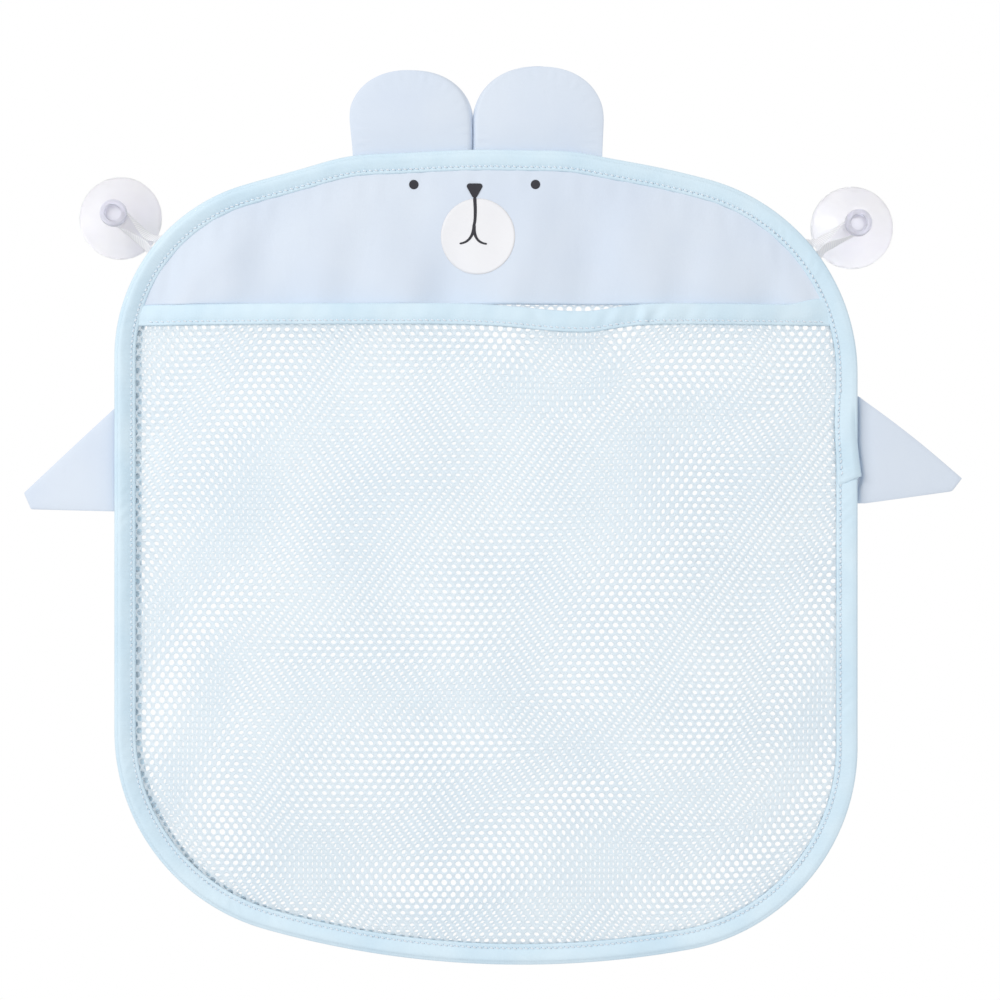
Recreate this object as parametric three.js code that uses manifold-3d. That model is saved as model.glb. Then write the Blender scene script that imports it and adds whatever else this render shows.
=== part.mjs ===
// Bath toy organizer: a net pocket with a fabric head panel, hung from two suction cups.
// Millimetres, +Z up. The wall is the plane y = 0 and the front of the bag faces -Y.
// The origin lies on the wall, midway between the centres of the two cups.
import * as THREE from "three";
import { mergeGeometries, mergeVertices } from "three/addons/utils/BufferGeometryUtils.js";
import Module from "manifold-3d";

// Outline of the bag over its binding: six tangent arcs and two straight sides
// The left shoulder is the tighter one, and the bag hangs lowest right of its middle.
const HALF_WIDTH = 180;
const TOP_Z = 33.4;
const BOTTOM_Z = -362;
const R_TOP = 410;
const R_LEFT_SHOULDER = 87;
const R_RIGHT_SHOULDER = 98;
const R_CORNER = 100;
const R_BOTTOM = 455;
const BOTTOM_SHIFT = 17;
const OUTLINE_STEP_DEG = 7.5;

// Cloth, net and tape
const NET_T = 0.6;
const FABRIC_T = 0.7;
const TAPE_T = 0.5;
const RIBBON_T = 0.7;
const FIT = 0.25;
const LAYER_GAP = 0.3;
const FOLD_PLAY = 0.1;
const MERGE_REACH = 1e-4;

// Edge binding: a tape folded over the edge, with its two ends lapped on the right side
const BINDING_WIDTH = 10;
const BINDING_NOSE = 1.6;
const LAP_START_Z = -88;
const LAP_END_Z = -125;
const LAP_SWELL = 3;
const LAP_STEP = 0.4;

// Pocket: the slack net bellies forward, and its mouth stands open at the top
const MOUTH_TOP_Z = -41.75;
const MOUTH_BINDING_H = 10;
const MOUTH_BULGE = 12;
const BELLY_BULGE = 20;
const BELLY_DROP = 110;
const BULGE_REACH = 110;
const MOUTH_STEPS = 24;

// Net gaps: staggered hexagons, as in knitted laundry net
const GAP_PITCH_X = 36;
const GAP_PITCH_Z = 24.5;
const STRAND = 6;
const GAP_CORNERS = [
  [0, 1],
  [-1, 0.5],
  [-1, -0.5],
  [0, -1],
  [1, -0.5],
  [1, 0.5],
];
const NET_JOIN = 2;

// Face, printed in thin films on the head panel
const FACE_X = -5.5;
const FILM_T = 0.25;
const FILM_GAP = 0.05;
const FILM_SEGMENTS = 32;
const EYE_R = 2.3;
const EYE_SPACING = 59;
const EYE_Z = 16.45;
const NOSE_W = 7.6;
const NOSE_H = 7.1;
const NOSE_ROUND = 1.4;
const NOSE_SLOPE_DEG = 35;
const NOSE_ROUND_STEPS = 4;
const NOSE_TOP_Z = 16.95;
const MUZZLE_W = 36;
const MUZZLE_H = 37;
const MUZZLE_Z = -8.85;
const MUZZLE_SHIFT = 1.6;
const MOUTH_LINE_W = 1.4;
const MOUTH_STEM_GAP = 0.6;
const MOUTH_FORK_Z = -7.65;
const MOUTH_FORK_W = 13;
const MOUTH_FORK_H = 4.6;

// Ears: two fabric layers over a thin wadding, sewn behind the top binding and all but touching
const EARS = {
  left: { width: 60.5, height: 37.3, flare: 2.4 },
  right: { width: 63.7, height: 39, flare: 1.1 },
};
const EAR_MEET_X = -6.35;
const EAR_GAP = 0.7;
const EAR_SHOULDER_H = 10.5;
const EAR_FULLNESS = 2.25;
const EAR_PUFF = 1.8;
const WADDING_EDGE = 0.3;
const EAR_SEAM_OUT = 2.2;
const EAR_TUCK = 9;
const EAR_RINGS = 4;
const EAR_ARC_STEPS = 16;

// Hands: flat two-layer fins sewn behind the side binding
const HANDS = {
  left: { topZ: -92.3, reach: 44.6, tipDrop: 40.8, bluntDrop: 48.8, bluntBack: 3.6 },
  right: { topZ: -88.4, reach: 48.1, tipDrop: 37.6, bluntDrop: 43.9, bluntBack: 4.9 },
};
const HAND_BASE_H = 49.8;
const HAND_TUCK = 9;
const SEAM_OUT = 1.4;

// Suction cups, moulded in one piece; the left one hangs higher than the right one
const CUP_OUTSET = 0.3;
const CUP_RISE = 2.35;
const CUP_R = 20.3;
const CUP_LIP_W = 2.5;
const CUP_LIP_T = 0.9;
const CUP_DOME_H = 9;
const CUP_DOME_POWER = 1.2;
const CUP_DOME_STEPS = 6;
const CUP_HOLLOW_H = 4;
const NECK_R = 3.5;
const KNOB_R = 6.5;
const KNOB_T = 4.2;
const KNOB_EDGE = 1;
const KNOB_RECESS_R = 4;
const KNOB_RECESS_DEPTH = 1.6;
const CUP_SEGMENTS = 32;

// Ribbon loops round the necks of the cups, their two ends sewn down side by side
const RIBBON_W = 8;
const LOOP_TUCK = 9;
const LOOP_SEAM_OUT = 2;
const LOOP_SHIFT = 2.5;
const LOOP_END_GAP = 0.3;
const LOOP_STRAND_STEPS = 14;
const LOOP_ARC_STEPS = 10;

// Sizes that follow from the fits
const NECK_LENGTH = RIBBON_W + 2 * FIT;
const NECK_MID_Y = -(CUP_DOME_H + NECK_LENGTH / 2);
const FLAP_HALF_T = FABRIC_T + LAYER_GAP / 2;
const SEAM_HALF_T = Math.max(FLAP_HALF_T, RIBBON_T / 2);
const SEAM_CLEAR = SEAM_HALF_T + FOLD_PLAY;
const STRAND_X = (RIBBON_W + LOOP_END_GAP) / 2;
const MOUTH_HALF_T = NET_T / 2 + FIT + TAPE_T;
const LAYER_OFFSET = (MOUTH_HALF_T + NET_T / 2 + FIT) / 2;
const SLOT_HALF = LAYER_OFFSET + Math.max(NET_T, FABRIC_T) / 2 + FIT;
const BINDING_HALF_T = SLOT_HALF + TAPE_T;
const SEAM_Y = NECK_MID_Y;
const BINDING_Y = SEAM_Y - SEAM_HALF_T - FIT - BINDING_HALF_T;
const FRONT_Y = BINDING_Y - LAYER_OFFSET;
const BACK_Y = BINDING_Y + LAYER_OFFSET;
const PANEL_FACE_Y = FRONT_Y - FABRIC_T / 2;
const CLOTH_INSET = BINDING_NOSE + FIT;
const SELVEDGE_INSET = BINDING_WIDTH + STRAND / 2;
const MOUTH_STRIP_Z = MOUTH_TOP_Z - MOUTH_BINDING_H - STRAND / 2;
const CUP_X = HALF_WIDTH + CUP_OUTSET;

// Centres of the outline's arcs
const TOP_CENTRE_Z = TOP_Z - R_TOP;
const BOTTOM_CENTRE_Z = BOTTOM_Z + R_BOTTOM;
const SHOULDERS = {
  left: cornerArc(-1, R_LEFT_SHOULDER, 0, TOP_CENTRE_Z, R_TOP, 1),
  right: cornerArc(1, R_RIGHT_SHOULDER, 0, TOP_CENTRE_Z, R_TOP, 1),
};
const CORNERS = {
  left: cornerArc(-1, R_CORNER, BOTTOM_SHIFT, BOTTOM_CENTRE_Z, R_BOTTOM, -1),
  right: cornerArc(1, R_CORNER, BOTTOM_SHIFT, BOTTOM_CENTRE_Z, R_BOTTOM, -1),
};

const deg = THREE.MathUtils.degToRad;
const manifold = await Module();
manifold.setup();

const periwinkle = { color: 0xdbe5f3, roughness: 0.85 };
const paleCyan = { color: 0xd2e9f7, roughness: 0.7 };
const netWhite = { color: 0xe4eff6, roughness: 0.7 };
const wadding = { color: 0xf6f6f4, roughness: 0.95 };
const ribbonWhite = { color: 0xf7f7fa, roughness: 0.6 };
const inkBlack = { color: 0x2e2e38, roughness: 0.6 };
const muzzleWhite = { color: 0xf3f4f6, roughness: 0.6 };
const clearPvc = { color: 0xeeeef2, roughness: 0.15, transparent: true, opacity: 0.5 };

const organizer = new THREE.Group();

function addNode(name, geometry, finish, parent = organizer) {
  const mesh = new THREE.Mesh(geometry, new THREE.MeshStandardMaterial({ metalness: 0, ...finish }));
  mesh.name = name;
  parent.add(mesh);
  return mesh;
}

// A corner arc tangent to a side and to the long arc above or below: its centre, radius and lean.
function cornerArc(side, r, longX, longZ, longR, up) {
  const x = side * (HALF_WIDTH - r);
  const rise = Math.sqrt((longR - r) ** 2 - (x - longX) ** 2);
  return { x, z: longZ + up * rise, r, lean: Math.atan2(x - longX, rise) };
}

// Stations round the outline from the top, anticlockwise from the front: a point and its outward normal.
function outlineStations() {
  const stations = [];
  const arc = (cx, cz, r, from, to) => {
    const steps = Math.max(2, Math.ceil(Math.abs(to - from) / deg(OUTLINE_STEP_DEG)));
    for (let i = 0; i < steps; i++) {
      const a = from + ((to - from) * i) / steps;
      stations.push({ x: cx + r * Math.cos(a), z: cz + r * Math.sin(a), nx: Math.cos(a), nz: Math.sin(a) });
    }
  };
  const sidePoint = (side, z) => stations.push({ x: side * HALF_WIDTH, z, nx: side, nz: 0 });
  const corner = ({ x, z, r }, from, to) => arc(x, z, r, from, to);
  const right = 0;
  const up = Math.PI / 2;
  const left = Math.PI;
  const down = 1.5 * Math.PI;
  arc(0, TOP_CENTRE_Z, R_TOP, up - SHOULDERS.right.lean, up);
  arc(0, TOP_CENTRE_Z, R_TOP, up, up - SHOULDERS.left.lean);
  corner(SHOULDERS.left, up - SHOULDERS.left.lean, left);
  sidePoint(-1, SHOULDERS.left.z);
  corner(CORNERS.left, left, down + CORNERS.left.lean);
  arc(BOTTOM_SHIFT, BOTTOM_CENTRE_Z, R_BOTTOM, down + CORNERS.left.lean, down);
  arc(BOTTOM_SHIFT, BOTTOM_CENTRE_Z, R_BOTTOM, down, down + CORNERS.right.lean);
  corner(CORNERS.right, down + CORNERS.right.lean, left + Math.PI);
  sidePoint(1, CORNERS.right.z);
  sidePoint(1, LAP_END_Z - LAP_STEP);
  sidePoint(1, LAP_END_Z);
  sidePoint(1, LAP_START_Z);
  corner(SHOULDERS.right, right, up - SHOULDERS.right.lean);
  return stations;
}

const STATIONS = outlineStations();

function insetOutline(inset) {
  return STATIONS.map((s) => new THREE.Vector2(s.x - s.nx * inset, s.z - s.nz * inset));
}

// The part of a convex outline where side(point) is at least 0; side is linear in the point.
function clipConvex(outline, side) {
  const kept = [];
  outline.forEach((p, i) => {
    const q = outline[(i + 1) % outline.length];
    const a = side(p);
    const b = side(q);
    if (a >= 0) kept.push(p);
    if (a * b < 0) kept.push(p.clone().lerp(q, a / (a - b)));
  });
  return kept;
}

// A plate of constant thickness: an outline in X and Z, from yFront back to yBack.
function plate(outline, yFront, yBack) {
  const options = { depth: yBack - yFront, bevelEnabled: false };
  const geometry = new THREE.ExtrudeGeometry(new THREE.Shape(outline), options);
  return geometry.rotateX(Math.PI / 2).translate(0, yBack, 0);
}

function indexedGeometry(points, triangles) {
  const geometry = new THREE.BufferGeometry().setFromPoints(points);
  geometry.setIndex(triangles);
  geometry.computeVertexNormals();
  return geometry;
}

// A solid through rings of equal point count. An open run is closed by caps cut from the flat profile.
// The profile's second half is split the other way, so the two faces of a twisted strip stay parallel.
function sweep(rings, profile, closed) {
  const n = profile.length;
  const triangles = [];
  const spans = closed ? rings.length : rings.length - 1;
  for (let i = 0; i < spans; i++) {
    const a = i * n;
    const b = ((i + 1) % rings.length) * n;
    for (let j = 0; j < n; j++) {
      const k = (j + 1) % n;
      if (j < n / 2) triangles.push(a + j, b + k, b + j, a + j, a + k, b + k);
      else triangles.push(a + j, a + k, b + j, a + k, b + k, b + j);
    }
  }
  if (!closed) {
    const last = (rings.length - 1) * n;
    for (const [p, q, r] of THREE.ShapeUtils.triangulateShape(profile, [])) {
      triangles.push(p, r, q, last + p, last + q, last + r);
    }
  }
  return indexedGeometry(rings.flat(), triangles);
}

// The tape's section folded over an edge: depth from the outer edge and offset from the tape's middle.
function foldedTape(width, nose, slotHalf, tape) {
  const half = slotHalf + tape;
  const round = Math.SQRT1_2;
  const outer = [
    [width, -half],
    [nose, -half],
    [nose * (1 - round), -half * round],
    [0, 0],
    [nose * (1 - round), half * round],
    [nose, half],
    [width, half],
  ];
  const slot = [
    [width, slotHalf],
    [nose, slotHalf],
    [nose, -slotHalf],
    [width, -slotHalf],
  ];
  return [...outer, ...slot].map(([depth, offset]) => new THREE.Vector2(depth, offset));
}

function edgeBinding() {
  const profile = foldedTape(BINDING_WIDTH, BINDING_NOSE, SLOT_HALF, TAPE_T);
  const lapSwell = (s) => {
    const onLap = s.x > 0 && s.z <= LAP_START_Z && s.z >= LAP_END_Z;
    return onLap ? (LAP_SWELL * (LAP_START_Z - s.z)) / (LAP_START_Z - LAP_END_Z) : 0;
  };
  const rings = STATIONS.map((s) =>
    profile.map(({ x: depth, y: offset }) => {
      const d = depth < BINDING_NOSE ? depth - lapSwell(s) : depth;
      return new THREE.Vector3(s.x - s.nx * d, BINDING_Y + offset, s.z - s.nz * d);
    }),
  );
  return sweep(rings, profile, true);
}

function distanceToEdge(x, z) {
  const point = new THREE.Vector3(x, 0, z);
  const nearest = new THREE.Vector3();
  const side = new THREE.Line3();
  let least = Infinity;
  STATIONS.forEach((s, i) => {
    const next = STATIONS[(i + 1) % STATIONS.length];
    side.start.set(s.x, 0, s.z);
    side.end.set(next.x, 0, next.z);
    side.closestPointToPoint(point, true, nearest);
    least = Math.min(least, nearest.distanceTo(point));
  });
  return least;
}

// How far the pocket net stands forward of the binding at a point of the front.
function bulge(x, z) {
  const fromSelvedge = distanceToEdge(x, z) - SELVEDGE_INSET - NET_JOIN;
  const fromEdge = THREE.MathUtils.clamp(fromSelvedge / BULGE_REACH, 0, 1);
  const down = THREE.MathUtils.smoothstep(MOUTH_STRIP_Z - z, 0, BELLY_DROP);
  return THREE.MathUtils.lerp(MOUTH_BULGE, BELLY_BULGE, down) * (1 - (1 - fromEdge) ** 2);
}

// A closed geometry as a solid for joining and cutting, and a solid back as a geometry.
function solid(geometry) {
  const bare = new THREE.BufferGeometry().setAttribute("position", geometry.getAttribute("position"));
  if (geometry.index) bare.setIndex(geometry.index);
  const merged = mergeVertices(bare, MERGE_REACH);
  const vertProperties = merged.getAttribute("position").array;
  const triVerts = new Uint32Array(merged.index.array);
  return new manifold.Manifold(new manifold.Mesh({ numProp: 3, vertProperties, triVerts }));
}

function geometryOf(body) {
  const { vertProperties, triVerts } = body.getMesh();
  const geometry = new THREE.BufferGeometry();
  geometry.setAttribute("position", new THREE.BufferAttribute(vertProperties, 3));
  geometry.setIndex(new THREE.BufferAttribute(triVerts, 1));
  geometry.computeVertexNormals();
  return geometry;
}

// Hexagonal posts where the net has its gaps, wherever a gap's centre lies within the selvedge.
function gapPosts(selvedge, highZ, yFront, yBack) {
  const halfX = GAP_PITCH_X / 2;
  const halfZ = (GAP_PITCH_Z * 2) / 3;
  const openX = halfX - STRAND / 2;
  const openZ = halfZ - STRAND / Math.sqrt(3);
  const inside = (p) =>
    selvedge.every((a, i) => {
      const b = selvedge[(i + 1) % selvedge.length];
      return (b.x - a.x) * (p.y - a.y) - (b.y - a.y) * (p.x - a.x) > 0;
    });
  const posts = [];
  const rows = Math.ceil((highZ - BOTTOM_Z) / GAP_PITCH_Z);
  const columns = Math.ceil(HALF_WIDTH / GAP_PITCH_X);
  for (let row = 0; row < rows; row++) {
    for (let column = -columns; column <= columns; column++) {
      const x = (column + (row % 2) / 2) * GAP_PITCH_X;
      const centre = new THREE.Vector2(x, highZ - (row + 0.5) * GAP_PITCH_Z);
      if (!inside(centre)) continue;
      const corner = ([u, v]) => new THREE.Vector2(x + u * openX, centre.y + v * openZ);
      posts.push(plate(GAP_CORNERS.map(corner), yFront, yBack));
    }
  }
  return solid(mergeGeometries(posts));
}

const below = (z) => (p) => z - p.y;
const above = (z) => (p) => p.y - z;

function backNet() {
  const selvedge = insetOutline(SELVEDGE_INSET);
  const front = BACK_Y - NET_T / 2;
  const back = BACK_Y + NET_T / 2;
  const gaps = gapPosts(selvedge, TOP_Z, front - NET_T, back + NET_T);
  const netting = solid(plate(selvedge, front - NET_T, back + NET_T)).intersect(gaps);
  return geometryOf(solid(plate(insetOutline(CLOTH_INSET), front, back)).subtract(netting));
}

// The pocket net: a flat selvedge in the binding, a strip in the mouth tape and the netting between.
function frontNet() {
  const front = FRONT_Y - NET_T / 2;
  const back = FRONT_Y + NET_T / 2;
  const top = MOUTH_TOP_Z - TAPE_T - FIT;
  const cloth = solid(plate(clipConvex(insetOutline(CLOTH_INSET), below(top)), front, back));
  const inner = solid(plate(insetOutline(SELVEDGE_INSET + NET_JOIN), front - NET_T, back + NET_T));
  const mouth = clipConvex(insetOutline(BINDING_WIDTH), above(MOUTH_STRIP_Z));
  const mouthGap = solid(plate(mouth, front - NET_T, back + NET_T));
  const selvedge = clipConvex(insetOutline(SELVEDGE_INSET), below(MOUTH_STRIP_Z));
  const posts = gapPosts(selvedge, MOUTH_STRIP_Z, front - NET_T, back + NET_T);
  const netting = geometryOf(solid(plate(selvedge, front, back)).subtract(posts));
  const position = netting.getAttribute("position");
  for (let i = 0; i < position.count; i++) {
    position.setY(i, position.getY(i) - bulge(position.getX(i), position.getZ(i)));
  }
  const stripSection = [
    [-NET_T / 2, MOUTH_STRIP_Z - NET_JOIN],
    [NET_T / 2, MOUTH_STRIP_Z - NET_JOIN],
    [NET_T / 2, top],
    [-NET_T / 2, top],
  ];
  const strip = solid(mouthSweep(stripSection, BINDING_WIDTH / 2));
  return geometryOf(cloth.subtract(inner).subtract(mouthGap).add(strip).add(solid(netting)));
}

// A section given as offsets from the net and heights, carried along the slack line of the mouth.
// A tail runs on at both ends, into the binding.
function mouthSweep(section, tail) {
  const halfWidth = Math.max(
    ...clipConvex(insetOutline(BINDING_WIDTH + FIT), above(MOUTH_TOP_Z)).map((p) => p.x),
  );
  const profile = section.map(([offset, z]) => new THREE.Vector2(offset, z));
  const xs = [];
  for (let i = 0; i <= MOUTH_STEPS; i++) xs.push(halfWidth * ((2 * i) / MOUTH_STEPS - 1));
  if (tail > 0) {
    xs.unshift(-halfWidth - tail);
    xs.push(halfWidth + tail);
  }
  const rings = xs.map((x) => {
    const y = FRONT_Y - bulge(x, MOUTH_STRIP_Z);
    return profile.map((p) => new THREE.Vector3(x, y + p.x, p.y));
  });
  return sweep(rings, profile, false);
}

function mouthBinding() {
  const slot = NET_T / 2 + FIT;
  const low = MOUTH_TOP_Z - MOUTH_BINDING_H;
  const ceiling = MOUTH_TOP_Z - TAPE_T;
  const section = [
    [-MOUTH_HALF_T, low],
    [-slot, low],
    [-slot, ceiling],
    [slot, ceiling],
    [slot, low],
    [MOUTH_HALF_T, low],
    [MOUTH_HALF_T, MOUTH_TOP_Z],
    [-MOUTH_HALF_T, MOUTH_TOP_Z],
  ];
  return mouthSweep(section, 0);
}

function headPanel() {
  const outline = clipConvex(insetOutline(CLOTH_INSET), above(MOUTH_TOP_Z + FIT));
  return plate(outline, FRONT_Y - FABRIC_T / 2, FRONT_Y + FABRIC_T / 2);
}

// A film of the printed face; films that lie over others take the next layer.
function film(outline, layer) {
  const back = PANEL_FACE_Y - FILM_GAP - layer * (FILM_T + FILM_GAP);
  return plate(outline, back - FILM_T, back);
}

function ellipsePoints(x, z, width, height) {
  return new THREE.EllipseCurve(x, z, width / 2, height / 2).getSpacedPoints(FILM_SEGMENTS).slice(0, -1);
}

// The nose: a triangle standing on its point, with rounded corners.
function noseOutline() {
  const r = NOSE_ROUND;
  const top = NOSE_TOP_Z - r;
  const side = NOSE_W / 2 - r;
  const up = Math.PI / 2;
  const slope = deg(NOSE_SLOPE_DEG);
  const shape = new THREE.Shape();
  shape.absarc(FACE_X - side, top, r, up, 2 * up + slope);
  shape.absarc(FACE_X, NOSE_TOP_Z - NOSE_H + r, r, 2 * up + slope, 4 * up - slope);
  shape.absarc(FACE_X + side, top, r, 4 * up - slope, 5 * up);
  return shape.extractPoints(NOSE_ROUND_STEPS).shape.slice(0, -1);
}

// The mouth: a stem that forks into two short downward strokes.
function mouthOutline() {
  const half = MOUTH_LINE_W / 2;
  const stemTop = NOSE_TOP_Z - NOSE_H - MOUTH_STEM_GAP;
  const tipX = MOUTH_FORK_W / 2;
  const tipZ = MOUTH_FORK_Z - MOUTH_FORK_H;
  const rightSide = [
    [half, stemTop],
    [half, MOUTH_FORK_Z + half],
    [tipX / 2, tipZ + half * 2],
    [tipX, tipZ + half],
    [tipX, tipZ - half],
    [tipX / 2, tipZ],
  ];
  const crotch = [0, MOUTH_FORK_Z - half * 2];
  const leftSide = rightSide.map(([x, z]) => [-x, z]).reverse();
  const outline = [...leftSide, ...rightSide, crotch].reverse();
  return outline.map(([x, z]) => new THREE.Vector2(FACE_X + x, z));
}

// A frame on a seam, with the fold at its origin: X runs along the seam, Z out of the bag and Y back.
function seamGroup(x, z, nx, nz, out) {
  const group = new THREE.Group();
  group.position.set(x + nx * out, SEAM_Y, z + nz * out);
  group.rotation.y = Math.atan2(nx, nz);
  organizer.add(group);
  return group;
}

// The stretch of a flap that is sewn down behind the binding, below its fold: its two lower corners,
// and where it starts and ends along the fold.
function sewnBase(lowLeft, lowRight, left, right, halfT) {
  const corners = [lowLeft, lowRight, [right, -SEAM_CLEAR], [left, -SEAM_CLEAR]];
  return plate(corners.map(([x, z]) => new THREE.Vector2(x, z)), -halfT, halfT);
}

// A thin dished solid over an outline. Its faces frontY and backY go by the share of the way out.
function dish(outline, middle, reach, frontY, backY) {
  const n = outline.length;
  const points = [];
  const triangles = [];
  for (const yAt of [frontY, backY]) {
    points.push(new THREE.Vector3(middle.x, yAt(0), middle.y));
    for (let ring = 1; ring <= EAR_RINGS; ring++) {
      const share = (reach * ring) / EAR_RINGS;
      for (const p of outline) {
        const q = middle.clone().lerp(p, share);
        points.push(new THREE.Vector3(q.x, yAt(share), q.y));
      }
    }
  }
  const backStart = 1 + n * EAR_RINGS;
  const quad = (a, b, c, d) => triangles.push(a, b, c, a, c, d);
  for (let i = 0; i < n; i++) {
    const j = (i + 1) % n;
    triangles.push(0, 1 + i, 1 + j, backStart, backStart + 1 + j, backStart + 1 + i);
    for (let ring = 0; ring < EAR_RINGS - 1; ring++) {
      const a = 1 + ring * n;
      const b = a + n;
      quad(a + i, b + i, b + j, a + j);
      quad(backStart + a + j, backStart + b + j, backStart + b + i, backStart + a + i);
    }
    const rim = 1 + (EAR_RINGS - 1) * n;
    quad(rim + i, backStart + rim + i, backStart + rim + j, rim + j);
  }
  return indexedGeometry(points, triangles);
}

// An ear's outline: an upright inner side, an outer side that widens a little and a full round top.
function earOutline(left, right, { width, height }) {
  const points = [new THREE.Vector2(left, 0), new THREE.Vector2(right, 0)];
  const full = (share) => Math.sign(share) * Math.abs(share) ** (2 / EAR_FULLNESS);
  for (let i = 0; i <= EAR_ARC_STEPS; i++) {
    const a = (Math.PI * i) / EAR_ARC_STEPS;
    const rise = EAR_SHOULDER_H + (height - EAR_SHOULDER_H) * full(Math.sin(a));
    points.push(new THREE.Vector2((width / 2) * full(Math.cos(a)), rise));
  }
  return points;
}

function addEar(name, side) {
  const ear = EARS[name];
  const middleX = EAR_MEET_X + (side * (ear.width + EAR_GAP)) / 2;
  const group = seamGroup(middleX, TOP_Z, 0, 1, EAR_SEAM_OUT);
  const left = -ear.width / 2 + (side < 0 ? ear.flare : 0);
  const right = ear.width / 2 - (side > 0 ? ear.flare : 0);
  const outline = earOutline(left, right, ear);
  const foot = (x) => {
    const edge = TOP_CENTRE_Z + Math.sqrt(R_TOP ** 2 - (middleX + x) ** 2);
    return [x, edge - TOP_Z - EAR_SEAM_OUT - EAR_TUCK];
  };
  const base = sewnBase(foot(left), foot(right), left, right, SEAM_HALF_T);
  const middle = new THREE.Vector2(0, EAR_SHOULDER_H);
  const half = (share) => FLAP_HALF_T + EAR_PUFF * (1 - share ** 2);
  const inner = (share) => half(share) - FABRIC_T;
  const fill = (share) => Math.max(inner(share) - FIT, 0);
  const fillReach = Math.sqrt(1 - (FIT + WADDING_EDGE - LAYER_GAP / 2) / EAR_PUFF);
  addNode(`${name}_ear_base`, base, periwinkle, group);
  const front = dish(outline, middle, 1, (s) => -half(s), (s) => -inner(s));
  const back = dish(outline, middle, 1, inner, half);
  const filling = dish(outline, middle, fillReach, (s) => -fill(s), fill);
  addNode(`${name}_ear_front`, front, periwinkle, group);
  addNode(`${name}_ear_back`, back, periwinkle, group);
  addNode(`${name}_ear_wadding`, filling, wadding, group);
}

// A hand on its seam, drawn as for the left side, where X runs up; the right side is its mirror.
// Its sewn base carries the slope of its upper edge on to the binding.
function addHand(name, side) {
  const { topZ, reach, tipDrop, bluntDrop, bluntBack } = HANDS[name];
  const out = SEAM_OUT + (side > 0 ? LAP_SWELL : 0);
  const half = HAND_BASE_H / 2;
  const group = seamGroup(side * HALF_WIDTH, topZ - half, side, 0, out);
  const outline = [
    [half, 0],
    [half - tipDrop, reach],
    [half - bluntDrop, reach - bluntBack],
    [-half, 0],
  ].map(([x, z]) => new THREE.Vector2(-side * x, z));
  const foot = -out - HAND_TUCK;
  const high = half + (out * tipDrop) / reach;
  const base = sewnBase([side * half, foot], [-side * high, foot], side * half, -side * half, SEAM_HALF_T);
  addNode(`${name}_hand_base`, base, periwinkle, group);
  addNode(`${name}_hand_front`, plate(outline, -FLAP_HALF_T, -LAYER_GAP / 2), periwinkle, group);
  addNode(`${name}_hand_back`, plate(outline, LAYER_GAP / 2, FLAP_HALF_T), periwinkle, group);
}

// A ribbon that leaves the seam flat, turns edge-on, passes round the neck and comes back as its mirror.
function ribbonLoop(reach) {
  const r = NECK_R + FIT + RIBBON_T / 2;
  const stations = [];
  for (let i = 0; i < LOOP_STRAND_STEPS; i++) {
    const along = i / LOOP_STRAND_STEPS;
    const turn = THREE.MathUtils.smoothstep(along, 0, 1);
    const twist = (turn * Math.PI) / 2;
    const centre = new THREE.Vector3(THREE.MathUtils.lerp(STRAND_X, r, turn), 0, reach * along);
    stations.push({ centre, width: new THREE.Vector3(Math.cos(twist), Math.sin(twist), 0) });
  }
  const back = stations.map(({ centre, width }) => ({
    centre: new THREE.Vector3(-centre.x, centre.y, centre.z),
    width: new THREE.Vector3(-width.x, width.y, 0),
  }));
  for (let i = 0; i <= LOOP_ARC_STEPS; i++) {
    const a = (Math.PI * i) / LOOP_ARC_STEPS;
    const centre = new THREE.Vector3(r * Math.cos(a), 0, reach + r * Math.sin(a));
    stations.push({ centre, width: new THREE.Vector3(0, 1, 0) });
  }
  stations.push(...back.reverse());
  const corners = [
    [-1, -1],
    [1, -1],
    [1, 1],
    [-1, 1],
  ];
  const last = stations.length - 1;
  const rings = stations.map(({ centre, width }, i) => {
    const before = stations[Math.max(i - 1, 0)].centre;
    const after = stations[Math.min(i + 1, last)].centre;
    const level = i === 0 || i === last;
    const along = level ? new THREE.Vector3(0, 0, i === 0 ? 1 : -1) : after.clone().sub(before);
    const thick = along.cross(width).normalize();
    return corners.map(([w, t]) =>
      centre
        .clone()
        .addScaledVector(width, (w * RIBBON_W) / 2)
        .addScaledVector(thick, (t * RIBBON_T) / 2),
    );
  });
  const profile = corners.map(([w, t]) => new THREE.Vector2((w * RIBBON_W) / 2, (t * RIBBON_T) / 2));
  return sweep(rings, profile, false);
}

// Half of the cup's section as radius and height, from the middle of the hollow round to that of the knob.
function cupProfile() {
  const profile = [];
  const hollowR = CUP_R - CUP_LIP_W;
  const rise = CUP_DOME_H - CUP_LIP_T;
  const knobBase = CUP_DOME_H + NECK_LENGTH;
  const knobTop = knobBase + KNOB_T;
  for (let i = 0; i <= CUP_DOME_STEPS; i++) {
    const share = i / CUP_DOME_STEPS;
    profile.push([hollowR * share, CUP_HOLLOW_H * (1 - share ** 2)]);
  }
  profile.push([CUP_R, 0]);
  for (let i = 0; i <= CUP_DOME_STEPS; i++) {
    const share = i / CUP_DOME_STEPS;
    const height = CUP_LIP_T + rise * Math.sin((share * Math.PI) / 2) ** CUP_DOME_POWER;
    profile.push([CUP_R + (NECK_R - CUP_R) * share, height]);
  }
  profile.push([NECK_R, knobBase]);
  profile.push([KNOB_R - KNOB_EDGE, knobBase]);
  profile.push([KNOB_R, knobBase + KNOB_EDGE]);
  profile.push([KNOB_R, knobTop - KNOB_EDGE]);
  profile.push([KNOB_R - KNOB_EDGE, knobTop]);
  profile.push([KNOB_RECESS_R, knobTop]);
  profile.push([KNOB_RECESS_R, knobTop - KNOB_RECESS_DEPTH]);
  profile.push([0, knobTop - KNOB_RECESS_DEPTH]);
  return profile.map(([radius, height]) => new THREE.Vector2(radius, height));
}

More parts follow.
